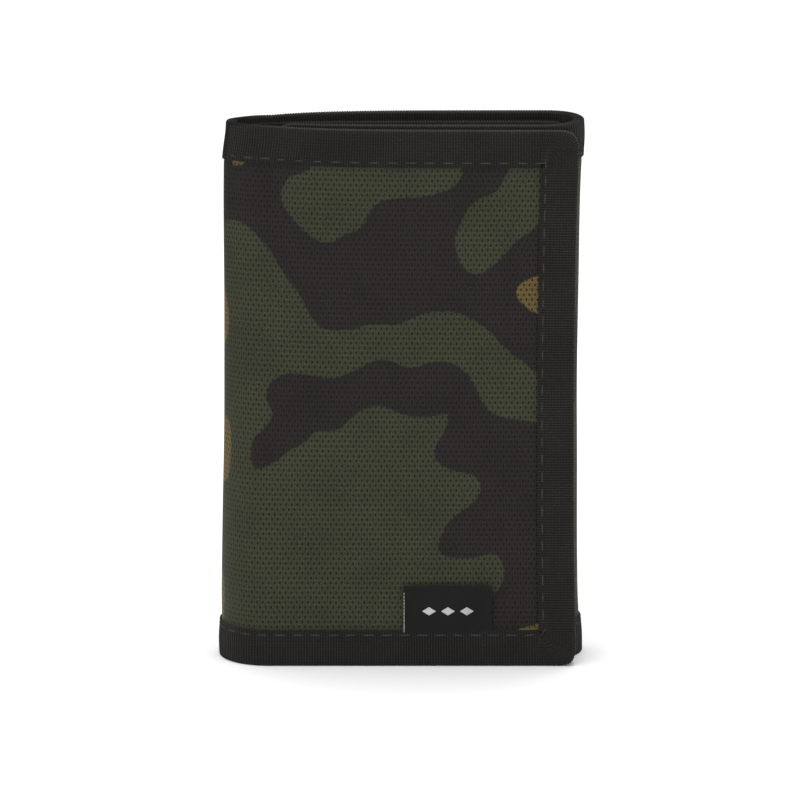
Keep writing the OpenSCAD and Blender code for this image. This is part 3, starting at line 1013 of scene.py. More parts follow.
@dataclass(frozen=True)
class CamouflagePrint:
    """The canvas's print: dark and ochre patches on a green ground.

    Args (fields):
        dark, ochre: each patch's outline, in millimetres along the strip and up.
        turn: the place past which the print runs back on itself.
        slant: how far it climbs for each millimetre past that place.
        far: what stands for a place that no patch is near.
        near: how far from its outline a patch is still measured.
    """

    dark: tuple[Outline, ...] = (
        # From the upper left, over the middle and out under the right-hand tape
        ((-48, 104), (-41, 104), (-36, 103), (-31, 98), (-27, 92), (-24, 88), (-21, 82.5),
         (-18, 79.8), (-12, 79.6), (-7, 81), (-1, 81), (4, 83), (8, 84), (14, 83.6), (20, 80),
         (24, 76), (29, 72), (36, 70), (36, 108), (31, 104), (26, 100), (22, 95.5), (18, 93),
         (14.5, 94.5), (12.5, 100), (14, 105.5), (17, 110), (21.5, 112), (24, 116), (26, 124),
         (13, 124), (14, 117), (12, 113.5), (6, 111.3), (-4, 110.3), (-7.5, 107), (-9, 104),
         (-13, 102), (-16, 100.4), (-19, 100.3), (-23, 103), (-27, 107.5), (-28, 111),
         (-26, 115), (-21, 118), (-24, 128), (-44, 128), (-52, 116)),
        # Across the middle and down the right side
        ((-35, 50), (-34.5, 47.2), (-32.5, 46.6), (-29, 48.5), (-26, 51), (-22.5, 53),
         (-20, 55.6), (-15, 56), (-11.5, 59), (-8, 61.3), (-4, 61.6), (1, 59.6), (6, 59.2),
         (11, 59.8), (10, 55.5), (8, 52), (8.5, 48.6), (12, 46.6), (17, 45.3), (18.7, 42.5),
         (17, 39), (13, 36), (10, 32.5), (8.8, 28), (11, 26), (17, 25.8), (22, 26.6),
         (24, 23.5), (23.5, 19.5), (21, 16), (20, 8), (22, 2), (38, 2), (38, 58), (33, 57.8),
         (28, 58.6), (23, 59.4), (20, 61.5), (17.5, 66), (15, 70), (11, 72.2), (7, 72.2),
         (2, 70.8), (-3, 72.6), (-7, 72.2), (-11, 70), (-16, 68.2), (-22, 69), (-27, 69),
         (-30.5, 66.5), (-31.5, 63), (-30, 59.5), (-32, 56), (-34.4, 53.5)),
        # Round the left fold and over the back
        ((-56, 74), (-50, 66), (-52, 54), (-60, 47), (-70, 50), (-76, 60), (-88, 62),
         (-98, 56), (-104, 64), (-97, 76), (-84, 82), (-72, 80), (-64, 84)),
        ((-60, 26), (-54, 14), (-58, 2), (-86, -2), (-92, 12), (-84, 24), (-74, 22), (-68, 32)),
        ((-70, 112), (-66, 100), (-76, 94), (-90, 98), (-104, 92), (-116, 98), (-122, 112),
         (-112, 128), (-82, 128)),
        ((-108, 42), (-98, 34), (-104, 18), (-118, 14), (-128, 22), (-124, 36), (-116, 44)),
        ((-122, 84), (-114, 74), (-118, 62), (-130, 58), (-137, 66), (-134, 78), (-129, 86)),
    )
    ochre: tuple[Outline, ...] = (
        ((26.8, 88.6), (28.6, 91.4), (33, 92.4), (37, 90), (35, 84), (31, 84), (28.4, 86)),
        ((-39.5, 120), (-36.8, 120), (-37, 117.4), (-40.6, 117)),
        ((-43, 84), (-42.6, 78), (-46, 74), (-51, 78), (-50, 85), (-46, 88)),
        ((-41.8, 56), (-41.2, 49), (-42.5, 43), (-47, 42), (-50, 49), (-46, 57)),
        ((-44, 19), (-43.6, 12), (-46, 6), (-51, 8), (-52, 16), (-48, 21)),
        ((27, 8.4), (31, 9.6), (36, 11), (36, 4), (27, 4)),
        ((-78, 42), (-72, 36), (-80, 31), (-90, 36), (-88, 43)),
        ((-104, 86), (-98, 82), (-106, 78), (-114, 82), (-111, 88)),
        ((-136, 22), (-134, 12), (-142, 6), (-148, 12), (-146, 22)),
    )
    turn: float = -138.0
    slant: float = -0.15
    far: float = -9.0
    near: float = 4.0

    @staticmethod
    def rounded(outline: Outline, between: int = 4) -> np.ndarray:
        """A closed smooth curve through an outline's points.

        Args:
            outline: the points.
            between: how many places each stretch gets.

        Returns:
            The curve's places.
        """
        p = np.array(outline, float)
        t = np.arange(between)[:, None] / between
        parts = []
        for i in range(len(p)):
            a, b, c, d = (p[(i + k) % len(p)] for k in (-1, 0, 1, 2))
            parts.append(
                b + 0.5 * t * (c - a + t * (2 * a - 5 * b + 4 * c - d + t * (3 * (b - c) + d - a)))
            )
        return np.concatenate(parts)

    @staticmethod
    def inside(curve: np.ndarray, place: np.ndarray) -> np.ndarray:
        """How far inside a closed curve each place lies.

        Args:
            curve: the curve's places.
            place: the places asked about.

        Returns:
            The distances, negative outside the curve.
        """
        nearest = np.full(len(place), 1e9)
        odd = np.zeros(len(place), bool)
        for a, b in zip(curve, np.roll(curve, -1, 0)):
            edge = b - a
            share = np.clip((place - a) @ edge / max(edge @ edge, 1e-9), 0, 1)
            nearest = np.minimum(nearest, np.linalg.norm(place - a - share[:, None] * edge, axis=1))
            if a[1] != b[1]:
                between = (a[1] > place[:, 1]) != (b[1] > place[:, 1])
                odd ^= between & (place[:, 0] < a[0] + (place[:, 1] - a[1]) / edge[1] * edge[0])
        return np.where(odd, nearest, -nearest)

    def field(self, outlines: tuple[Outline, ...], s: np.ndarray, z: np.ndarray) -> np.ndarray:
        """How far inside the nearest patch each place of the strip lies.

        Args:
            outlines: the patches.
            s, z: places along the strip and heights.

        Returns:
            The distances in millimetres, negative outside every patch.
        """
        place = np.stack([np.ravel(s), np.ravel(z)], -1) / MM
        beyond = np.maximum(self.turn - place[:, 0], 0.0)
        place = place + beyond[:, None] * np.array([2.0, self.slant])
        best = np.full(len(place), self.far)
        for outline in outlines:
            curve = self.rounded(outline)
            low, high = curve.min(0) - self.near, curve.max(0) + self.near
            close = np.all((place > low) & (place < high), axis=1)
            if close.any():
                best[close] = np.maximum(best[close], self.inside(curve, place[close]))
        return best


# ---- Sub-assemblies ---------------------------------------------------------------


@dataclass(frozen=True)
class Measures:
    """The wallet's sizes, read from the frame where it has them.

    Args (fields):
        height: the closed wallet's height.
        front_edge, inner_edge: X of the front flap's and the inner panel's free edge.
        shell, wall: the way of the shell and of the inner walls round the folds.
        tape, canvas, board, lining, inner_wall, wall_tape: thickness of each layer.
        flap_gap: the note compartment, between shell and inner wall.
        tape_width: how far the tape reaches in from an edge.
        corner: radius of the free edges' corners.
        wall_drop: how much lower the inner walls end.
    """

    height: float
    front_edge: float
    inner_edge: float
    shell: FoldedPath
    wall: FoldedPath
    tape: float = 0.5 * MM
    canvas: float = 0.7 * MM
    board: float = 0.5 * MM
    lining: float = 0.3 * MM
    inner_wall: float = 0.5 * MM
    wall_tape: float = 0.4 * MM
    flap_gap: float = 1.2 * MM
    tape_width: float = 8.5 * MM
    corner: float = 4.0 * MM
    wall_drop: float = 1.0 * MM

    @property
    def shell_depth(self) -> float:
        """Depth of the shell's inner face."""
        return self.tape + self.canvas + self.board + self.lining

    @property
    def pack(self) -> float:
        """Depth of a flap with its inner wall and tape."""
        return self.shell_depth + self.flap_gap + self.inner_wall + self.wall_tape

    @classmethod
    def of_frame(cls) -> "Measures":
        """Reads the sizes from the CAD nodes' boxes.

        Returns:
            The wallet's sizes.
        """
        shell_depth = cls.tape + cls.canvas + cls.board + cls.lining
        half_canvas = cls.tape + cls.canvas / 2
        front_y, back_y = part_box("front_top_tape")[0].y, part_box("back_top_tape")[1].y
        inner_y, wall_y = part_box("inner_top_tape")[0].y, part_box("back_wall")[1].y
        to_wall = shell_depth + cls.flap_gap
        left_r, right_r = (back_y - front_y) / 2, (back_y - inner_y) / 2
        left_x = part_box("left_fold_bottom_tape")[0].x + left_r
        right_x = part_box("right_fold_bottom_tape")[1].x - right_r
        shell = FoldedPath(
            left_x, (back_y + front_y) / 2, left_r,
            right_x, (back_y + inner_y) / 2, right_r, half_canvas,
        )
        front_wall, inner_wall = front_y + to_wall, inner_y + to_wall
        wall = FoldedPath(
            left_x, (wall_y + front_wall) / 2, (wall_y - front_wall) / 2,
            right_x, (wall_y + inner_wall) / 2, (wall_y - inner_wall) / 2,
            cls.inner_wall / 2,
        )
        return cls(
            height=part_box("back_top_tape")[1].z,
            front_edge=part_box("front_edge_tape")[1].x,
            inner_edge=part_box("inner_edge_tape")[0].x,
            shell=shell,
            wall=wall,
        )


def joined(piece: bpy.types.Object, path: FoldedPath, zone: Zone, thick: float) -> None:
    """Bakes a piece's transform into its mesh."""
    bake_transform(piece)


def report(piece: bpy.types.Object) -> None:
    """Logs a finished piece."""
    LOG.info("%s: %d faces", piece.name, len(piece.data.polygons))


def fitted(piece: bpy.types.Object, body: str, slot: str, *nodes: str) -> None:
    """Lets a finished piece ride on a body.

    Args:
        piece: the piece.
        body: what it rides on.
        slot: not used.
        nodes: the CAD nodes that it stands for.
    """
    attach(piece, body)
    if nodes:
        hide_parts(*nodes)
    report(piece)


ZONE_NODES = {
    Zone.FRONT: "front",
    Zone.BACK_LEFT: "left_fold",
    Zone.BACK_RIGHT: "right_fold",
    Zone.INNER: "inner",
}


def stands_for(zone: Zone, what: str) -> list[str]:
    """The CAD nodes that a zone's piece of one sheet stands for."""
    nodes = [f"{ZONE_NODES[zone]}_{what}"]
    return nodes + [f"back_{what}"] if zone in (Zone.BACK_LEFT, Zone.BACK_RIGHT) else nodes


@dataclass
class Sheets:
    """The canvas, lining, boards and inner walls.

    Args (fields):
        m: the wallet's sizes.
        finishes: its finishes.
        grid, coarse, board_grid: mesh sizes of the canvas, the other cloth and the boards.
        sway: how uneven the canvas is.
        sway_along, sway_up: length of its waves each way, in mm.
        seam_low, seam_high, seam_fade: heights where it lies flat, and how soon, in mm.
        print: the canvas's print.
    """

    m: Measures
    finishes: Finishes
    grid: float = 0.9 * MM
    coarse: float = 3.0 * MM
    board_grid: float = 4.0 * MM
    sway: float = 0.1 * MM
    sway_along: float = 9.1
    sway_up: float = 12.3
    seam_low: float = 9.0
    seam_high: float = 117.5
    seam_fade: float = 6.0
    print: CamouflagePrint = field(default_factory=CamouflagePrint)

    def trim(self, path: FoldedPath, s: np.ndarray, inset: float) -> np.ndarray:
        """How far the sheet's ends draw in at the free edges' round corners.

        Args:
            path: the sheet's way round the folds.
            s: places along the strip.
            inset: how far the sheet stays inside the tape.

        Returns:
            How far it draws in at each place.
        """
        r = self.m.corner - inset
        first = self.m.front_edge - inset
        last = path.inner_edge(self.m.inner_edge) + inset
        into = np.clip(np.maximum(s - (first - r), (last + r) - s), 0, r)
        return r - np.sqrt(np.maximum(r * r - into * into, 0))

    def uneven(self, s: np.ndarray, z: np.ndarray) -> np.ndarray:
        """The cloth's slight unevenness between its seams.

        Args:
            s, z: places along the strip and heights.

        Returns:
            How far each place stands out.
        """
        a, b = s / MM, z / MM
        along = np.sin(a / self.sway_along + 1.3 * np.sin(b / 17))
        up = np.sin(b / self.sway_up + 0.6 + np.sin(a / 21))
        above = smooth((b - self.seam_low) / self.seam_fade)
        below = smooth((self.seam_high - b) / self.seam_fade)
        return self.sway * (along * up) * (above * below)

    def sheet(
        self,
        name: str,
        path: FoldedPath,
        zone: Zone,
        depths: tuple[float, float],
        top: float,
        material: bpy.types.Material,
        grid: float,
        printed: bool,
    ) -> bpy.types.Object:
        """One zone's share of a sheet.

        Args:
            name: the piece's name.
            path: the sheet's way round the folds.
            zone: the share.
            depths: its outer and inner face.
            top: height of its upper edge.
            material: its finish.
            grid: mesh size of the outer face.
            printed: whether it carries the print.

        Returns:
            The piece.
        """
        inset = self.m.tape
        s0, s1 = path.span(
            zone, self.m.front_edge - inset, path.inner_edge(self.m.inner_edge) + inset
        )
        s = steps(s0, s1, grid)
        out, back = steps(inset, top, grid), steps(top, inset, max(grid, self.coarse))
        z = np.concatenate([out, back])
        side = np.concatenate([np.zeros(len(out)), np.ones(len(back))])
        gs, gz = np.meshgrid(s, z, indexing="ij")
        centre, half = (top + inset) / 2, (top - inset) / 2
        gz = centre + (gz - centre) * (1 - self.trim(path, gs, inset) / half)
        d = depths[0] + side * (depths[1] - depths[0])
        fields = {}
        if printed:
            d = d - self.uneven(gs, gz)
            fields = {
                "dark": self.print.field(self.print.dark, gs, gz),
                "ochre": self.print.field(self.print.ochre, gs, gz),
            }
        cloth = np.stack([gs, gz], -1)
        made = new_piece(
            name, path.point(gs, gz, d), loft_faces(*gs.shape), cloth, material, fields
        )
        joined(made, path, zone, depths[1])
        return made

    def build(self) -> None:
        """Makes every sheet."""
        m, coat = self.m, self.finishes
        shell_top, wall_top = m.height - m.tape, m.height - m.wall_drop - m.wall_tape
        canvas = (m.tape, m.tape + m.canvas)
        lining = (m.shell_depth - m.lining, m.shell_depth)
        wall = (0.0, m.inner_wall)
        layers = (
            ("canvas", m.shell, canvas, shell_top, coat.canvas, self.grid, "printed_canvas"),
            ("lining", m.shell, lining, shell_top, coat.lining, self.coarse, "lining"),
            ("wall", m.wall, wall, wall_top, coat.fabric, self.coarse, "inner_fabric"),
        )
        for what, path, depths, top, finish, grid, slot in layers:
            for zone in Zone:
                name = f"{zone.word}_{what}_cloth"
                made = self.sheet(name, path, zone, depths, top, finish, grid, what == "canvas")
                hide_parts(*stands_for(zone, what))
                report(made)
        for body in ("back_panel", "front_flap", "inner_panel"):
            node = body.split("_")[0] + "_board"
            low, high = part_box(node)
            made = quilt(
                node + "_sheet", (low.x, high.x), (low.z, high.z),
                lambda x, z, y=low.y: np.full(x.shape, y), high.y - low.y,
                coat.board, self.board_grid,
            )
            fitted(made, body, "board", node)


@dataclass
class Bindings:
    """The ribbed tape over every edge, with its stitching.

    Args (fields):
        m: the wallet's sizes.
        finishes: its finishes.
        rows: the tree that sets the stitches.
        rib, rib_height: distance between ribs, and how high they stand.
        across: mesh size over the tape's width.
        soften: radius of its folds.
        crown: how much it stands out between its fold and its seam.
        pleat, pleat_reach: how high it gathers at a corner, and how far round.
        selvedge: width of its thin border.
        scallop: how much the border draws in at a stitch.
        stitch, stitch_inset: distance between stitches, and from them to the border.
        stitch_size: a stitch's length, width and height.
        sink, sink_reach: how deep the seam lies, and how wide.
        seam_lift: how far the thread's middle lies under the tape's outer face.
    """

    m: Measures
    finishes: Finishes
    rows: Repeater
    rib: float = 0.62 * MM
    rib_height: float = 0.12 * MM
    across: float = 0.9 * MM
    soften: float = 0.55 * MM
    crown: float = 0.16 * MM
    pleat: float = 0.3 * MM
    pleat_reach: float = 1.3 * MM
    selvedge: float = 0.7 * MM
    scallop: float = 0.07 * MM
    stitch: float = 4.1 * MM
    stitch_inset: float = 1.1 * MM
    stitch_size: tuple[float, float, float] = (2.9 * MM, 0.42 * MM, 0.3 * MM)
    sink: float = 0.09 * MM
    sink_reach: float = 0.6 * MM
    seam_lift: float = 0.06 * MM

    def profile(self, width: float, thick: float) -> np.ndarray:
        """The folded tape's section.

        Args:
            width: how far it reaches in from the edge.
            thick: its thickness.

        Returns:
            For each point: how far in it lies, its share of the depth, the depth added
            to that, and how much it faces out over the edge and to the front.
        """
        r, rows = self.soften, []
        for v in steps(width, r, self.across):
            rows.append((v, 0.0, 0.0, 0.0, -1.0))
        for a in (22.5, 45.0, 67.5):
            c, s = math.cos(math.radians(a)), math.sin(math.radians(a))
            rows.append((r - r * s, 0.0, r - r * c, -s, -c))
        rows += [(0.0, 0.0, r, -1.0, 0.0), (0.0, 0.5, 0.0, -1.0, 0.0), (0.0, 1.0, -r, -1.0, 0.0)]
        for a in (67.5, 45.0, 22.5):
            c, s = math.cos(math.radians(a)), math.sin(math.radians(a))
            rows.append((r - r * s, 1.0, -r + r * c, -s, c))
        for v in steps(r, width, self.across):
            rows.append((v, 1.0, 0.0, 0.0, 1.0))
        rows += [(width, 1.0, -thick, 0, 0), (thick, 1.0, -thick, 0, 0)]
        rows += [(thick, 0.0, thick, 0, 0), (width, 0.0, thick, 0, 0)]
        return np.array(rows)

    def tape(
        self,
        name: str,
        path: FoldedPath,
        outer: np.ndarray,
        inner: np.ndarray,
        depth: np.ndarray,
        lift: float,
        thick: float,
        crease: np.ndarray,
    ) -> bpy.types.Object:
        """A tape folded over an edge.

        Args:
            name: the piece's name.
            path: the edge's way round the folds.
            outer: places (s, z) along the edge.
            inner: places of the tape's inner border, one for each.
            depth: the depth that the tape wraps, at each place.
            lift: depth of its outer face.
            thick: the tape's thickness.
            crease: extra height where the tape is folded at a corner.

        Returns:
            The tape.
        """
        run = np.concatenate([[0], np.cumsum(np.linalg.norm(np.diff(outer, axis=0), axis=1))])
        width = self.m.tape_width
        v, share, add, out, front = self.profile(width, thick).T
        across = np.concatenate([[0], np.cumsum(np.hypot(np.diff(v), np.diff(share) * 2 * MM))])
        skin = (np.abs(out) + np.abs(front)) > 0
        ribs = np.abs(((run / self.rib) % 1.0) * 2 - 1)[:, None] - 0.5
        at_border = v > width - self.selvedge
        border = np.where(at_border, 0.35, 1.0) + np.where(v < self.soften, 0.9, 0.0)
        sunk = np.exp(-(((v - width + self.stitch_inset) / self.sink_reach) ** 2))
        pull = 0.5 - 0.5 * np.cos(2 * math.pi * run / self.stitch)[:, None]
        pillow = np.sin(math.pi * np.clip(v / (width - self.stitch_inset), 0, 1))
        height = (
            ribs * self.rib_height * border
            + self.crown * pillow
            - self.sink * sunk * (0.4 + 0.6 * pull)
            + crease[:, None] * np.clip(1 - v / width, 0.15, 1)
        ) * skin
        way = inner - outer
        way = way / np.maximum(np.linalg.norm(way, axis=1), 1e-9)[:, None]
        reach = np.linalg.norm(inner - outer, axis=1)[:, None] / width
        inward = (v + self.scallop * pull * at_border) * reach + out * height
        place = outer[:, None, :] + way[:, None, :] * inward[..., None]
        d = lift + share * depth[:, None] + add + front * height
        cloth = np.stack(np.broadcast_arrays(run[:, None], across[None, :]), -1)
        return new_piece(
            name, path.point(place[..., 0], place[..., 1], d), loft_faces(len(run), len(v)),
            cloth, self.finishes.tape, sharp=60,
        )

    @staticmethod
    def level(s0: float, s1: float, size: float, z: float) -> np.ndarray:
        """Places along the strip from s0 to s1 at one height, about size apart."""
        s = steps(s0, s1, size)
        return np.stack([s, np.full(len(s), z)], -1)

    def straight(self, s0: float, s1: float, edge: float, inward: float) -> tuple[np.ndarray, ...]:
        """Outer and inner places of a straight tape along the strip."""
        size = self.rib / 4
        return self.level(s0, s1, size, edge), self.level(s0, s1, size, edge + inward)

    def round_free_edge(self, end: float, into: float, stop: float) -> tuple[np.ndarray, ...]:
        """The tape from the upper corner round the free edge and along the bottom.

        Args:
            end: the free edge's place on the strip.
            into: which way the panel lies from it, 1 or -1.
            stop: where the bottom tape ends.

        Returns:
            Outer places, inner places, and how far each lies from the nearest corner.
        """
        w, r, h, size = self.m.tape_width, self.m.corner, self.m.height, self.rib / 4
        turn = np.linspace(0, math.pi / 2, int(r * math.pi / 2 / size))[1:-1]
        lead = steps(w, r, size)
        down = steps(h - r, r, size)
        along = steps(r, abs(stop - end), size)
        a = np.concatenate([lead, r - r * np.sin(turn), np.zeros(len(down)),
                            r - r * np.cos(turn), along])
        z = np.concatenate([np.full(len(lead), h), h - r + r * np.cos(turn), down,
                            r - r * np.sin(turn), np.zeros(len(along))])
        outer = np.stack([end + into * a, z], -1)
        inner = np.stack([end + into * np.maximum(a, w), np.clip(z, w, h - w)], -1)
        tip = 0.3 * r
        upper, lower = np.hypot(a - tip, z - h + tip), np.hypot(a - tip, z - tip)
        return outer, inner, np.minimum(upper, lower)

    def bottom_depth(self, s: np.ndarray) -> np.ndarray:
        """How deep the bottom tape wraps: the shell, the compartment and the inner wall.

        Args:
            s: places along the strip.

        Returns:
            The depth at each place.
        """
        shell, wall = self.m.shell, self.m.wall
        a = shell.turn(s)
        left = s > shell.back_mid
        out = np.where(left, shell.left_r, shell.right_r)
        inner = self.m.inner_wall + self.m.wall_tape
        r = np.where(left, wall.left_r, wall.right_r) - inner
        off = shell.left_y - wall.left_y
        return out - (off * np.cos(a) + np.sqrt(np.maximum(r**2 - (off * np.sin(a)) ** 2, 0)))

    def seam(self, name: str, path: FoldedPath, line: np.ndarray, d: float) -> bpy.types.Object:
        """A row of stitches.

        Args:
            name: the piece's name.
            path: the seam's way round the folds.
            line: its places along the strip and up.
            d: its depth.

        Returns:
            The row.
        """
        place = path.point(line[:, 0], line[:, 1], np.full(len(line), d))
        deeper = path.point(line[:, 0], line[:, 1], np.full(len(line), d + MM))
        stitch = bead("stitch", *self.stitch_size)
        return self.rows.make(
            name, place, (place - deeper) / MM, stitch, self.stitch, 0.06, self.finishes.thread
        )

    @staticmethod
    def dress(
        piece: bpy.types.Object,
        path: FoldedPath,
        zone: Zone,
        thick: float,
        nodes: Sequence[str] = (),
        flat: tuple[float, float] | None = None,
    ) -> None:
        """Args:
            piece: the tape or seam.
            path: its way round the folds.
            zone: its zone.
            thick: depth of what it wraps.
            nodes: the CAD nodes that it stands for.
            flat: not used.
        """
        joined(piece, path, zone, thick)
        if nodes:
            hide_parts(*nodes)
        report(piece)

    def build(self) -> None:
        """Makes every tape and its stitches."""
        m, w = self.m, self.m.tape_width
        shell, wall = m.shell, m.wall
        last, wall_last = shell.inner_edge(m.inner_edge), wall.inner_edge(m.inner_edge)
        shell_wrap = m.shell_depth + m.tape
        wall_wrap = m.inner_wall + 2 * m.wall_tape
        seam_in = w - self.stitch_inset
        for zone in Zone:
            part = zone.word
            s0, s1 = shell.span(zone, m.front_edge - w, last + w)
            for what, path, top, wrap, lift, thick, ends in (
                ("top_tape", shell, m.height, shell_wrap, 0.0, m.tape, (s0, s1)),
                ("wall_tape", wall, m.height - m.wall_drop, wall_wrap, -m.wall_tape, m.wall_tape,
                 wall.span(zone, m.front_edge - w, wall_last + w)),
            ):
                outer, inner = self.straight(*ends, top, -w)
                none = np.zeros(len(outer))
                piece = self.tape(
                    f"{part}_{what}_binding", path, outer, inner, none + wrap, lift, thick, none
                )
                length = ends[1] - ends[0]
                self.dress(piece, path, zone, lift + wrap, stands_for(zone, what),
                           (2 * w + wrap, length))
                line = self.level(*ends, MM, top - seam_in)
                seam = self.seam(f"{part}_{what}_stitches", path, line, lift + self.seam_lift)
                self.dress(seam, path, zone, lift + wrap)
            if zone in (Zone.BACK_LEFT, Zone.BACK_RIGHT):
                outer, inner = self.straight(s0, s1, 0.0, w)
                crease = np.zeros(len(outer))
                depth = self.bottom_depth(outer[:, 0])
                what, line = "bottom_tape", self.level(s0, s1, MM, seam_in)
            else:
                front = zone is Zone.FRONT
                end, stop, into = (m.front_edge, s0, -1.0) if front else (last, s1, 1.0)
                outer, inner, corner = self.round_free_edge(end, into, stop)
                crease = self.pleat * np.exp(-((corner / self.pleat_reach) ** 2))
                upper = smooth((m.height - outer[:, 1]) / w)
                at_edge = np.abs(outer[:, 0] - end) <= w
                depth = self.bottom_depth(outer[:, 0])
                depth = depth + (shell_wrap - m.pack) * (1 - upper) * at_edge
                what, line = "edge_tape", self.square_seam(end, into, stop, seam_in)
            piece = self.tape(
                f"{part}_{what}_binding", shell, outer, inner, depth, 0.0, m.tape, crease
            )
            length = float(np.linalg.norm(np.diff(outer, axis=0), axis=1).sum())
            self.dress(piece, shell, zone, m.pack, stands_for(zone, what),
                       (2 * w + m.pack, length))
            seam = self.seam(f"{part}_{what}_stitches", shell, line, self.seam_lift)
            self.dress(seam, shell, zone, m.pack)

    def square_seam(self, end: float, into: float, stop: float, inset: float) -> np.ndarray:
        """The stitch line down the free edge and along the bottom, turning square.

        Args:
            end: the free edge's place on the strip.
            into: which way the panel lies from it, 1 or -1.
            stop: where the bottom tape ends.
            inset: how far in from the edge it runs.

        Returns:
            Its places along the strip and up.
        """
        down = steps(self.m.height - inset, inset, MM)
        along = steps(inset, abs(stop - end), MM)
        a = np.concatenate([np.full(len(down), inset), along[1:]])
        z = np.concatenate([down, np.full(len(along) - 1, inset)])
        return np.stack([end + into * a, z], -1)


@dataclass
class Pockets:
    """The card pockets, the coin pocket and the clear window.

    Args (fields):
        finishes: the wallet's finishes.
        seams: the tree that sets the stitches.
        grid, hem_grid: mesh sizes of a pocket and its bound mouth.
        belly: how much a pocket stands out in its middle.
        hem, hem_thick, hem_over: the bound mouth's height, thickness and rise over the edge.
        rib, rib_height: distance between its ribs, and how high they stand.
        stitch, stitch_size: distance between stitches; a stitch's length, width and height.
        inset: how far in from the edge they run.
        least_sheet: not used.
        bar, bar_inset: width of the window's frame, and how far in its stitches run.
    """

    finishes: Finishes
    seams: Repeater
    grid: float = 2.0 * MM
    hem_grid: float = 0.4 * MM
    belly: float = 0.12 * MM
    hem: float = 7.0 * MM
    hem_thick: float = 0.22 * MM
    hem_over: float = 0.25 * MM
    rib: float = 0.8 * MM
    rib_height: float = 0.03 * MM
    stitch: float = 3.0 * MM
    stitch_size: tuple[float, float, float] = (2.1 * MM, 0.36 * MM, 0.26 * MM)
    inset: float = 1.0 * MM
    least_sheet: float = 10.0 * MM
    bar: float = 4.0 * MM
    bar_inset: float = 0.9 * MM

    def stitches(
        self, name: str, line: Sequence[tuple[float, float]], y: float, out: float, body: str
    ) -> None:
        """A row of stitches at one depth.

        Args:
            name: the piece's name.
            line: the points (x, z) that it runs through.
            y: its depth.
            out: the way it faces along Y, 1 or -1.
            body: what it rides on.
        """
        dense = [np.array(line[0])]
        for a, b in zip(line, line[1:]):
            a, b = np.array(a), np.array(b)
            for t in np.linspace(0, 1, max(2, int(np.linalg.norm(b - a) / MM)))[1:]:
                dense.append(a + (b - a) * t)
        dense = np.array(dense)
        place = np.stack([dense[:, 0], np.full(len(dense), y), dense[:, 1]], -1)
        stitch = bead("stitch", *self.stitch_size)
        made = self.seams.make(
            name, place, np.array([0.0, out, 0.0]), stitch, self.stitch, 0.06, self.finishes.thread
        )
        fitted(made, body, "")

    def pocket(self, node: str, body: str, out: float, thick: float, hem_up: bool = True) -> None:
        """One pocket sheet with a bound mouth and stitched sides.

        Args:
            node: the CAD node that it stands for.
            body: what it rides on.
            out: the way its visible face looks along Y, 1 or -1.
            thick: its thickness.
            hem_up: whether its upper edge is bound.
        """
        low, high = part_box(node)
        width, height = high.x - low.x, high.z - low.z
        face = low.y if out < 0 else high.y - thick
        outer = low.y if out < 0 else high.y
        inset = self.inset

        def arch(share: np.ndarray) -> np.ndarray:
            """How much the pocket stands out at a share of its width or height."""
            return np.sin(math.pi * np.clip(share, 0, 1))

        def front(x: np.ndarray, z: np.ndarray) -> np.ndarray:
            """Depth of the pocket's front."""
            swell = arch((x - low.x) / width) * arch((z - low.z) / height)
            return face + 0.6 * self.belly * out * swell

        def hem_front(x: np.ndarray, z: np.ndarray) -> np.ndarray:
            """Depth of the bound mouth's front."""
            swell = 0.2 * self.belly * out * arch((x - low.x) / width)
            ribs = self.rib_height * np.sin(2 * math.pi * x / self.rib)
            return outer + min(0.0, out) * self.hem_thick + swell + ribs

        made = quilt(
            node + "_sheet", (low.x, high.x), (low.z, high.z), front, thick,
            self.finishes.fabric, self.grid,
        )
        fitted(made, body, "inner_fabric", node)
        if hem_up:
            hem = quilt(
                node + "_hem", (low.x, high.x), (high.z - self.hem, high.z + self.hem_over),
                hem_front, self.hem_thick, self.finishes.tape, self.hem_grid,
            )
            fitted(hem, body, "binding_tape")
            row = high.z - self.hem + inset
            self.stitches(node + "_hem_stitches", [(low.x, row), (high.x, row)],
                          outer + out * (self.hem_thick + 0.05 * MM), out, body)
        self.stitches(
            node + "_side_stitches",
            [(low.x + inset, high.z - self.hem * hem_up), (low.x + inset, low.z + inset),
             (high.x - inset, low.z + inset), (high.x - inset, high.z - self.hem * hem_up)],
            outer + out * 0.06 * MM, out, body,
        )

    def window(self) -> None:
        """The clear window: a taped frame with a pane behind it."""
        low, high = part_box("window_frame")
        frame_tape = solid_copy(
            "window_frame", "window_frame_tape", self.finishes.tape, 0.12 * MM, True
        )
        fitted(frame_tape, "front_flap", "binding_tape")
        pane = solid_copy("window_pane", "window_film", self.finishes.film, 0.0, True)
        fitted(pane, "front_flap", "clear_vinyl")
        for k, inset in enumerate((self.bar_inset, self.bar - self.bar_inset)):
            x0, x1, z0, z1 = low.x + inset, high.x - inset, low.z + inset, high.z - inset
            self.stitches(
                f"window_stitches_{k + 1}", [(x0, z1), (x0, z0), (x1, z0), (x1, z1), (x0, z1)],
                high.y + 0.05 * MM, 1.0, "front_flap",
            )

    def build(self) -> None:
        """Makes every pocket and the window."""
        for i in (1, 2, 3):
            self.pocket(f"card_pocket_{i}", "back_panel", -1.0, 0.4 * MM)
        self.pocket("coin_pocket", "inner_panel", 1.0, 0.5 * MM, hem_up=False)
        self.pocket("coin_strip", "inner_panel", 1.0, 0.5 * MM, hem_up=False)
        self.window()


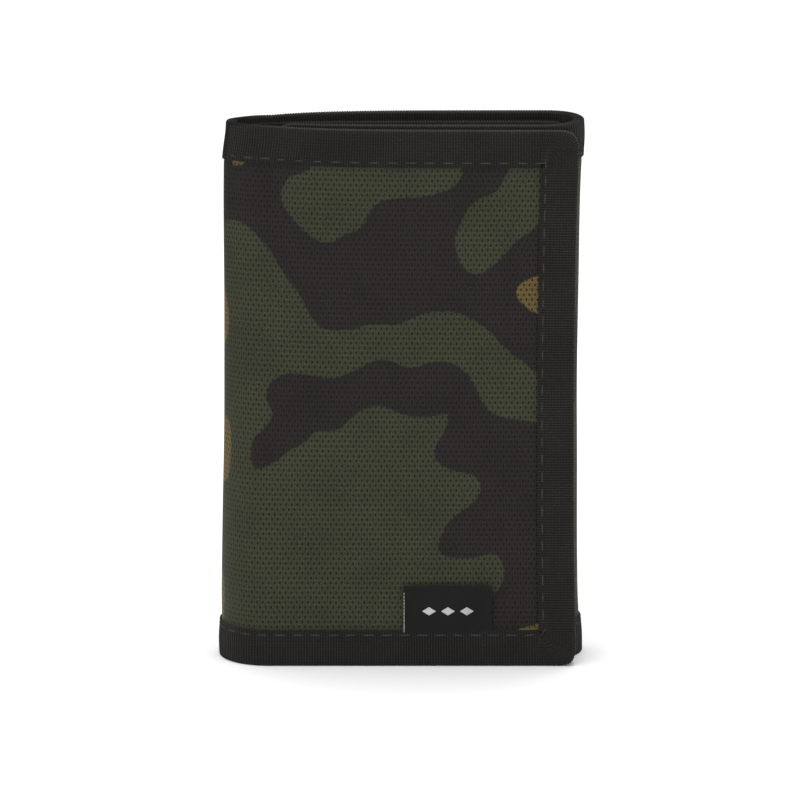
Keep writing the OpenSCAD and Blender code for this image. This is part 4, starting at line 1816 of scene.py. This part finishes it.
def solid_copy(
    node: str, name: str, material: bpy.types.Material, soften: float, settle: bool
) -> bpy.types.Object:
    """A CAD node's own shape with its edges softened, standing for it.

    Args:
        node: the CAD node.
        name: the new piece's name.
        material: its finish.
        soften: how far its edges are rounded.
        settle: whether it settles with the cloth; metal on a joint stays on its axis.

    Returns:
        The piece.
    """
    body = bmesh.new()
    body.from_mesh(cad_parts[node].data)
    bmesh.ops.remove_doubles(body, verts=body.verts, dist=0.002 * MM)
    bmesh.ops.dissolve_limit(
        body, angle_limit=math.radians(1), verts=body.verts, edges=body.edges
    )
    if soften:
        bend = math.radians(30)
        sharp = [e for e in body.edges if e.is_manifold and e.calc_face_angle(0) > bend]
        bmesh.ops.bevel(
            body, geom=sharp, offset=soften, segments=2, profile=0.6, affect="EDGES",
            clamp_overlap=True,
        )
    bmesh.ops.triangulate(body, faces=[f for f in body.faces if len(f.verts) > 4])
    made = piece_of(body, name, material, settle)
    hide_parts(node)
    return made


@dataclass
class Closure:
    """The hook strip on the front flap and the loop strip on the inner panel.

    Args (fields):
        finishes: the wallet's finishes.
        hook_pitch, loop_pitch: distance between hooks and between loops.
        hook_stand, loop_stand: how far they stand above their base.
        bare: the strip's border that has none.
        soften: how far the base's edges are rounded.
    """

    finishes: Finishes
    hook_pitch: float = 1.25 * MM
    loop_pitch: float = 0.95 * MM
    hook_stand: float = 0.7 * MM
    loop_stand: float = 0.5 * MM
    bare: float = 0.8 * MM
    soften: float = 0.15 * MM

    def strip(
        self,
        node: str,
        body: str,
        out: float,
        shape: bpy.types.Object,
        pitch: float,
        stand: float,
        finish: bpy.types.Material,
        seed: int,
        spread: float,
    ) -> None:
        """A woven base with hooks or loops all over its face.

        Args:
            node: the CAD node that it stands for.
            body: what it rides on.
            out: the way its face looks along Y, 1 or -1.
            shape: one hook or loop.
            pitch: distance between them.
            stand: how far they stand above the base.
            finish: their material.
            seed: the seed for their turns and sizes.
            spread: how much their sizes differ.
        """
        low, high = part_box(node)
        face = (high.y if out > 0 else low.y) - out * stand
        back = low.y if out > 0 else high.y
        slot = node.split("_")[0]
        base = slab(
            node + "_base", (low.x, min(face, back), low.z), (high.x, max(face, back), high.z),
            self.soften, self.finishes.fabric,
        )
        fitted(base, body, slot, node)
        rng = np.random.default_rng(seed)
        gx, gz = np.meshgrid(
            steps(low.x + self.bare, high.x - self.bare, pitch),
            steps(low.z + self.bare, high.z - self.bare, pitch),
        )
        shift = (rng.random((2, gx.size)) - 0.5) * pitch * 0.5
        places = (gx.ravel() + shift[0], np.full(gx.size, face), gz.ravel() + shift[1])
        tree = Repeater(f"{node} field", seed).on_points()
        pile = tree.make(
            node + "_pile", np.stack(places, -1), np.array([0.0, out, 0.0]), shape, pitch,
            spread, finish, False,
        )
        fitted(pile, body, slot)

    def build(self) -> None:
        """Makes both strips."""
        hook = bent_wire(
            "hook_wire",
            lambda t: (0.28 * MM * (1 - math.cos(t * 4.0)) - 0.1 * MM, 0.0,
                       0.62 * MM * math.sin(min(t * 2.2, 1.9))),
            0.07 * MM,
        )
        loop = bent_wire(
            "loop_wire",
            lambda t: (0.55 * MM * math.cos(math.pi * (1 - t)), 0.12 * MM * math.sin(5 * t),
                       0.5 * MM * math.sin(math.pi * t)),
            0.055 * MM,
        )
        self.strip(
            "hook_strip", "front_flap", 1.0, hook, self.hook_pitch, self.hook_stand,
            self.finishes.hook, seed=11, spread=0.08,
        )
        self.strip(
            "loop_strip", "inner_panel", -1.0, loop, self.loop_pitch, self.loop_stand,
            self.finishes.loop, seed=12, spread=0.3,
        )


@dataclass
class Label:
    """The folded satin tab over the bottom tape, with a plain woven row of lozenges.

    Args (fields):
        finishes: the wallet's finishes.
        seams: the tree that sets the edge thread's turns.
        low, high: the tab's corners.
        grid: its mesh size.
        bow, lean: how far its middle and its fold stand out.
        tuck: how far its ends reach under the seam.
        sag: how much higher the fold's middle is.
        marks, mark_step: how many lozenges it has, and how far apart.
        mark_half, mark_rise: half a lozenge's width and height.
        raised: how far the lozenges and the thread stand from the satin.
        bare: how far below the fold the edge thread ends.
        thread_turn, thread_size: length and thickness of one turn of it.
        thread_pitch: distance between its turns.
    """

    finishes: Finishes
    seams: Repeater
    low: Vector = field(default_factory=lambda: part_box("label_tab")[0])
    high: Vector = field(default_factory=lambda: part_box("label_tab")[1])
    grid: float = 0.5 * MM
    bow: float = 0.55 * MM
    lean: float = 0.35 * MM
    tuck: float = 0.3 * MM
    sag: float = 0.22 * MM
    marks: int = 3
    mark_step: float = 4.4 * MM
    mark_half: float = 1.6 * MM
    mark_rise: float = 1.0 * MM
    raised: float = 0.05 * MM
    bare: float = 1.5 * MM
    thread_turn: float = 0.9 * MM
    thread_size: float = 0.22 * MM
    thread_pitch: float = 0.8 * MM

    def front(self, x: np.ndarray, z: np.ndarray) -> np.ndarray:
        """Depth of the tab's front.

        Args:
            x, z: places across and heights.

        Returns:
            The depth (Y) at each place.
        """
        u = np.clip((x - self.low.x) / (self.high.x - self.low.x), 0, 1)
        v = np.clip((z - self.low.z) / (self.high.z - self.low.z), 0, 1)
        return self.low.y - self.bow * v * (0.55 + 0.45 * np.sin(math.pi * u)) - self.lean * v**3

    def tab(self) -> None:
        """Makes the tab: up its front, over the fold and down its back."""
        low, high = self.low, self.high
        width, height, thick = high.x - low.x, high.z - low.z, high.y - low.y
        xs = steps(low.x, high.x, self.grid)
        up = steps(low.z - self.tuck, high.z, self.grid)
        fold = np.linspace(0, math.pi, 7)[1:-1]
        r = thick / 2
        z = np.concatenate([up, high.z + r * np.sin(fold), up[::-1]])
        back = np.concatenate([np.zeros(len(up)), r - r * np.cos(fold), np.full(len(up), thick)])
        gx, gz = np.meshgrid(xs, z, indexing="ij")
        share = np.clip((gz - low.z) / height, 0, 1)
        gz = gz + self.sag * np.sin(math.pi * (gx - low.x) / width) * share
        points = np.stack([gx, self.front(gx, gz) + back, gz], -1)
        faces = loft_faces(len(xs), len(z))
        made = new_piece("label_tab_satin", points, faces, None, self.finishes.satin)
        fitted(made, "front_flap", "label", "label_tab")

    def lozenges(self) -> None:
        """Makes the row of woven lozenges on the tab."""
        centre = np.array([(self.low.x + self.high.x) / 2, 0.55 * self.low.z + 0.45 * self.high.z])
        shape = np.array([
            (-self.mark_half, 0.0), (0.0, self.mark_rise), (self.mark_half, 0.0),
            (0.0, -self.mark_rise),
        ])
        points, faces = [], []
        for i in range(self.marks):
            ring = shape + centre + np.array([(i - (self.marks - 1) / 2) * self.mark_step, 0.0])
            for lift in (self.raised, -self.raised):
                y = self.front(ring[:, 0], ring[:, 1]) - lift
                points += [(a, b, c) for (a, c), b in zip(ring, y)]
            k = 8 * i
            faces += [[k, k + 1, k + 2, k + 3], [k + 7, k + 6, k + 5, k + 4]]
            faces += [[k + j, k + (j + 1) % 4, k + 4 + (j + 1) % 4, k + 4 + j] for j in range(4)]
        made = new_piece("label_marks", np.array(points), faces, None, self.finishes.mark)
        fitted(made, "front_flap", "label")

    def edge_thread(self) -> None:
        """Makes the pale thread down the tab's left edge."""
        z = steps(self.low.z, self.high.z - self.bare, self.grid)
        x = np.full(len(z), self.low.x)
        line = np.stack([x + self.raised, self.front(x, z) + self.raised, z], -1)
        turn = bead("thread_turn", self.thread_turn, self.thread_size, self.thread_size)
        made = self.seams.make(
            "label_edge_thread", line, np.array([0.0, -1.0, 0.0]), turn, self.thread_pitch, 0.15,
            self.finishes.pale_thread,
        )
        fitted(made, "front_flap", "label")

    def build(self) -> None:
        """Makes the tab, its lozenges and its edge thread."""
        self.tab()
        self.lozenges()
        self.edge_thread()


@dataclass
class Zip:
    """The coin pocket's zip.

    Args (fields):
        finishes: the wallet's finishes.
        seams: the tree that sets the teeth.
        tooth_pitch, tooth_width: distance between teeth in a row, and a tooth's width.
        tooth_place, tooth_reach: a row's place and a tooth's length, as shares of half the chain.
        end_gap: how far from the chain's end the first tooth lies.
        rounding, fine_rounding: how far the stops' and the slider's edges are rounded.
    """

    finishes: Finishes
    seams: Repeater
    tooth_pitch: float = 1.3 * MM
    tooth_width: float = 0.78 * MM
    tooth_place: float = 0.55
    tooth_reach: float = 1.05
    end_gap: float = 0.4 * MM
    rounding: float = 0.12 * MM
    fine_rounding: float = 0.05 * MM

    def teeth(self) -> None:
        """Makes the two rows of teeth, half a pitch apart."""
        low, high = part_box("zip_teeth")
        y, z, reach = (low.y + high.y) / 2, (low.z + high.z) / 2, (high.z - low.z) / 2
        rows = []
        for word, way, start in (("upper", 1.0, 0.0), ("lower", -1.0, self.tooth_pitch / 2)):
            xs = steps(low.x + self.end_gap + start, high.x - self.end_gap, 0.5 * MM)
            row = np.full(len(xs), z + way * reach * self.tooth_place)
            tooth = bead("tooth", self.tooth_width, reach * self.tooth_reach, high.y - low.y, 8)
            rows.append(self.seams.make(
                f"zip_teeth_{word}", np.stack([xs, np.full(len(xs), y), row], -1),
                np.array([0.0, 1.0, 0.0]), tooth, self.tooth_pitch, 0.0, self.finishes.metal,
            ))
        fitted(rows[0], "inner_panel", "zip_metal", "zip_teeth")
        fitted(rows[1], "inner_panel", "zip_metal")

    def build(self) -> None:
        """Makes the tapes, stops, slider, puller and teeth."""
        tape, metal = self.finishes.tape, self.finishes.metal
        for what, body, finish, soften, slot in (
            ("zip_tapes", "inner_panel", tape, 0.0, "binding_tape"),
            ("zip_stops", "inner_panel", metal, self.rounding, "zip_metal"),
            ("zip_slider", "slider", metal, self.fine_rounding, "zip_metal"),
            ("zip_puller", "puller", metal, self.fine_rounding, "zip_metal"),
        ):
            made = solid_copy(what, what + "_finished", finish, soften, what == "zip_tapes")
            fitted(made, body, slot)
        self.teeth()


@dataclass
class Studio:
    """The floor, the light and the camera.

    Args (fields):
        look_x, look_z, front: the place that the camera looks at.
        elevation: how steeply it looks down, in degrees.
        distance: how far away it stands.
        frame_width: how much of the scene it takes in, there.
        sensor: the width of its sensor, in millimetres.
        floor_half: half the floor's width.
        pale: how light the floor is.
        sky: how bright the white surroundings are.
        lamps: each lamp's name, place, size and power in watts.
        lit_height: the height that the lamps shine at.
    """

    look_x: float = -0.2 * MM
    look_z: float = 63.4 * MM
    front: float = -11.575 * MM
    elevation: float = 14.2
    distance: float = 2.6
    frame_width: float = 0.1836
    sensor: float = 36.0
    floor_half: float = 6.0
    pale: float = 0.93
    sky: float = 0.68
    lamps: tuple[tuple[str, tuple[float, float, float], float, float], ...] = (
        ("key_light", (-0.5, -1.2, 1.3), 0.9, 6.5),
        ("fill_light", (0.9, -1.0, 0.7), 0.9, 2.0),
        ("top_light", (0.0, 0.1, 1.5), 1.0, 15.0),
    )
    lit_height: float = 0.06

    def floor(self) -> None:
        """A plain pale floor under the wallet."""
        w = Wiring("studio_floor")
        w.constant(Roughness=1.0, Specular_IOR_Level=0.0)
        w.shader.inputs["Base Color"].default_value = (self.pale, self.pale, self.pale, 1.0)
        a = self.floor_half
        mesh = bpy.data.meshes.new("studio_floor")
        mesh.from_pydata([(-a, -a, 0), (a, -a, 0), (a, a, 0), (-a, a, 0)], [], [(0, 1, 2, 3)])
        mesh.materials.append(w.material)
        in_scene("studio_floor", mesh)

    def lamp(self, name: str, place: Sequence[float], size: float, power: float) -> None:
        """One soft square lamp that shines at the wallet.

        Args:
            name: its name.
            place: where it hangs.
            size: its width.
            power: its power in watts.
        """
        light = bpy.data.lights.new(name, "AREA")
        light.size, light.energy = size, power
        made = in_scene(name, light)
        made.location = place
        way = Vector((0.0, 0.0, self.lit_height)) - Vector(place)
        made.rotation_euler = way.to_track_quat("-Z", "Y").to_euler()

    def camera(self) -> None:
        """The camera, in front of the wallet and a little above it."""
        camera = bpy.data.cameras.new("front_view")
        camera.sensor_width = self.sensor
        camera.lens = self.sensor * self.distance / self.frame_width
        camera.clip_end = 50.0
        view = in_scene("front_view", camera)
        rise = math.radians(self.elevation)
        view.location = (
            self.look_x,
            self.front - self.distance * math.cos(rise),
            self.look_z + self.distance * math.sin(rise),
        )
        view.rotation_euler = (math.pi / 2 - rise, 0.0, 0.0)
        bpy.context.scene.camera = view

    def build(self) -> None:
        """Sets up the studio."""
        self.floor()
        bpy.context.scene.view_settings.view_transform = "Standard"
        world = bpy.data.worlds.new("studio_white")
        bpy.context.scene.world = world
        world.use_nodes = True
        background = world.node_tree.nodes["Background"]
        background.inputs["Color"].default_value = (1.0, 1.0, 1.0, 1.0)
        background.inputs["Strength"].default_value = self.sky
        for lamp in self.lamps:
            self.lamp(*lamp)
        self.camera()


def main() -> None:
    """Builds the wallet and its studio."""
    logging.basicConfig(level=logging.INFO, format="%(name)s %(message)s")
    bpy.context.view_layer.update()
    sizes = Measures.of_frame()
    finishes = Finishes()
    seams = Repeater("small stitches", 5).along_line()
    Sheets(sizes, finishes).build()
    Bindings(sizes, finishes, Repeater("stitches along a seam", 3).along_line()).build()
    Pockets(finishes, seams).build()
    Closure(finishes).build()
    Label(finishes, seams).build()
    Zip(finishes, seams).build()
    Studio().build()


if __name__ == "__main__":
    main()
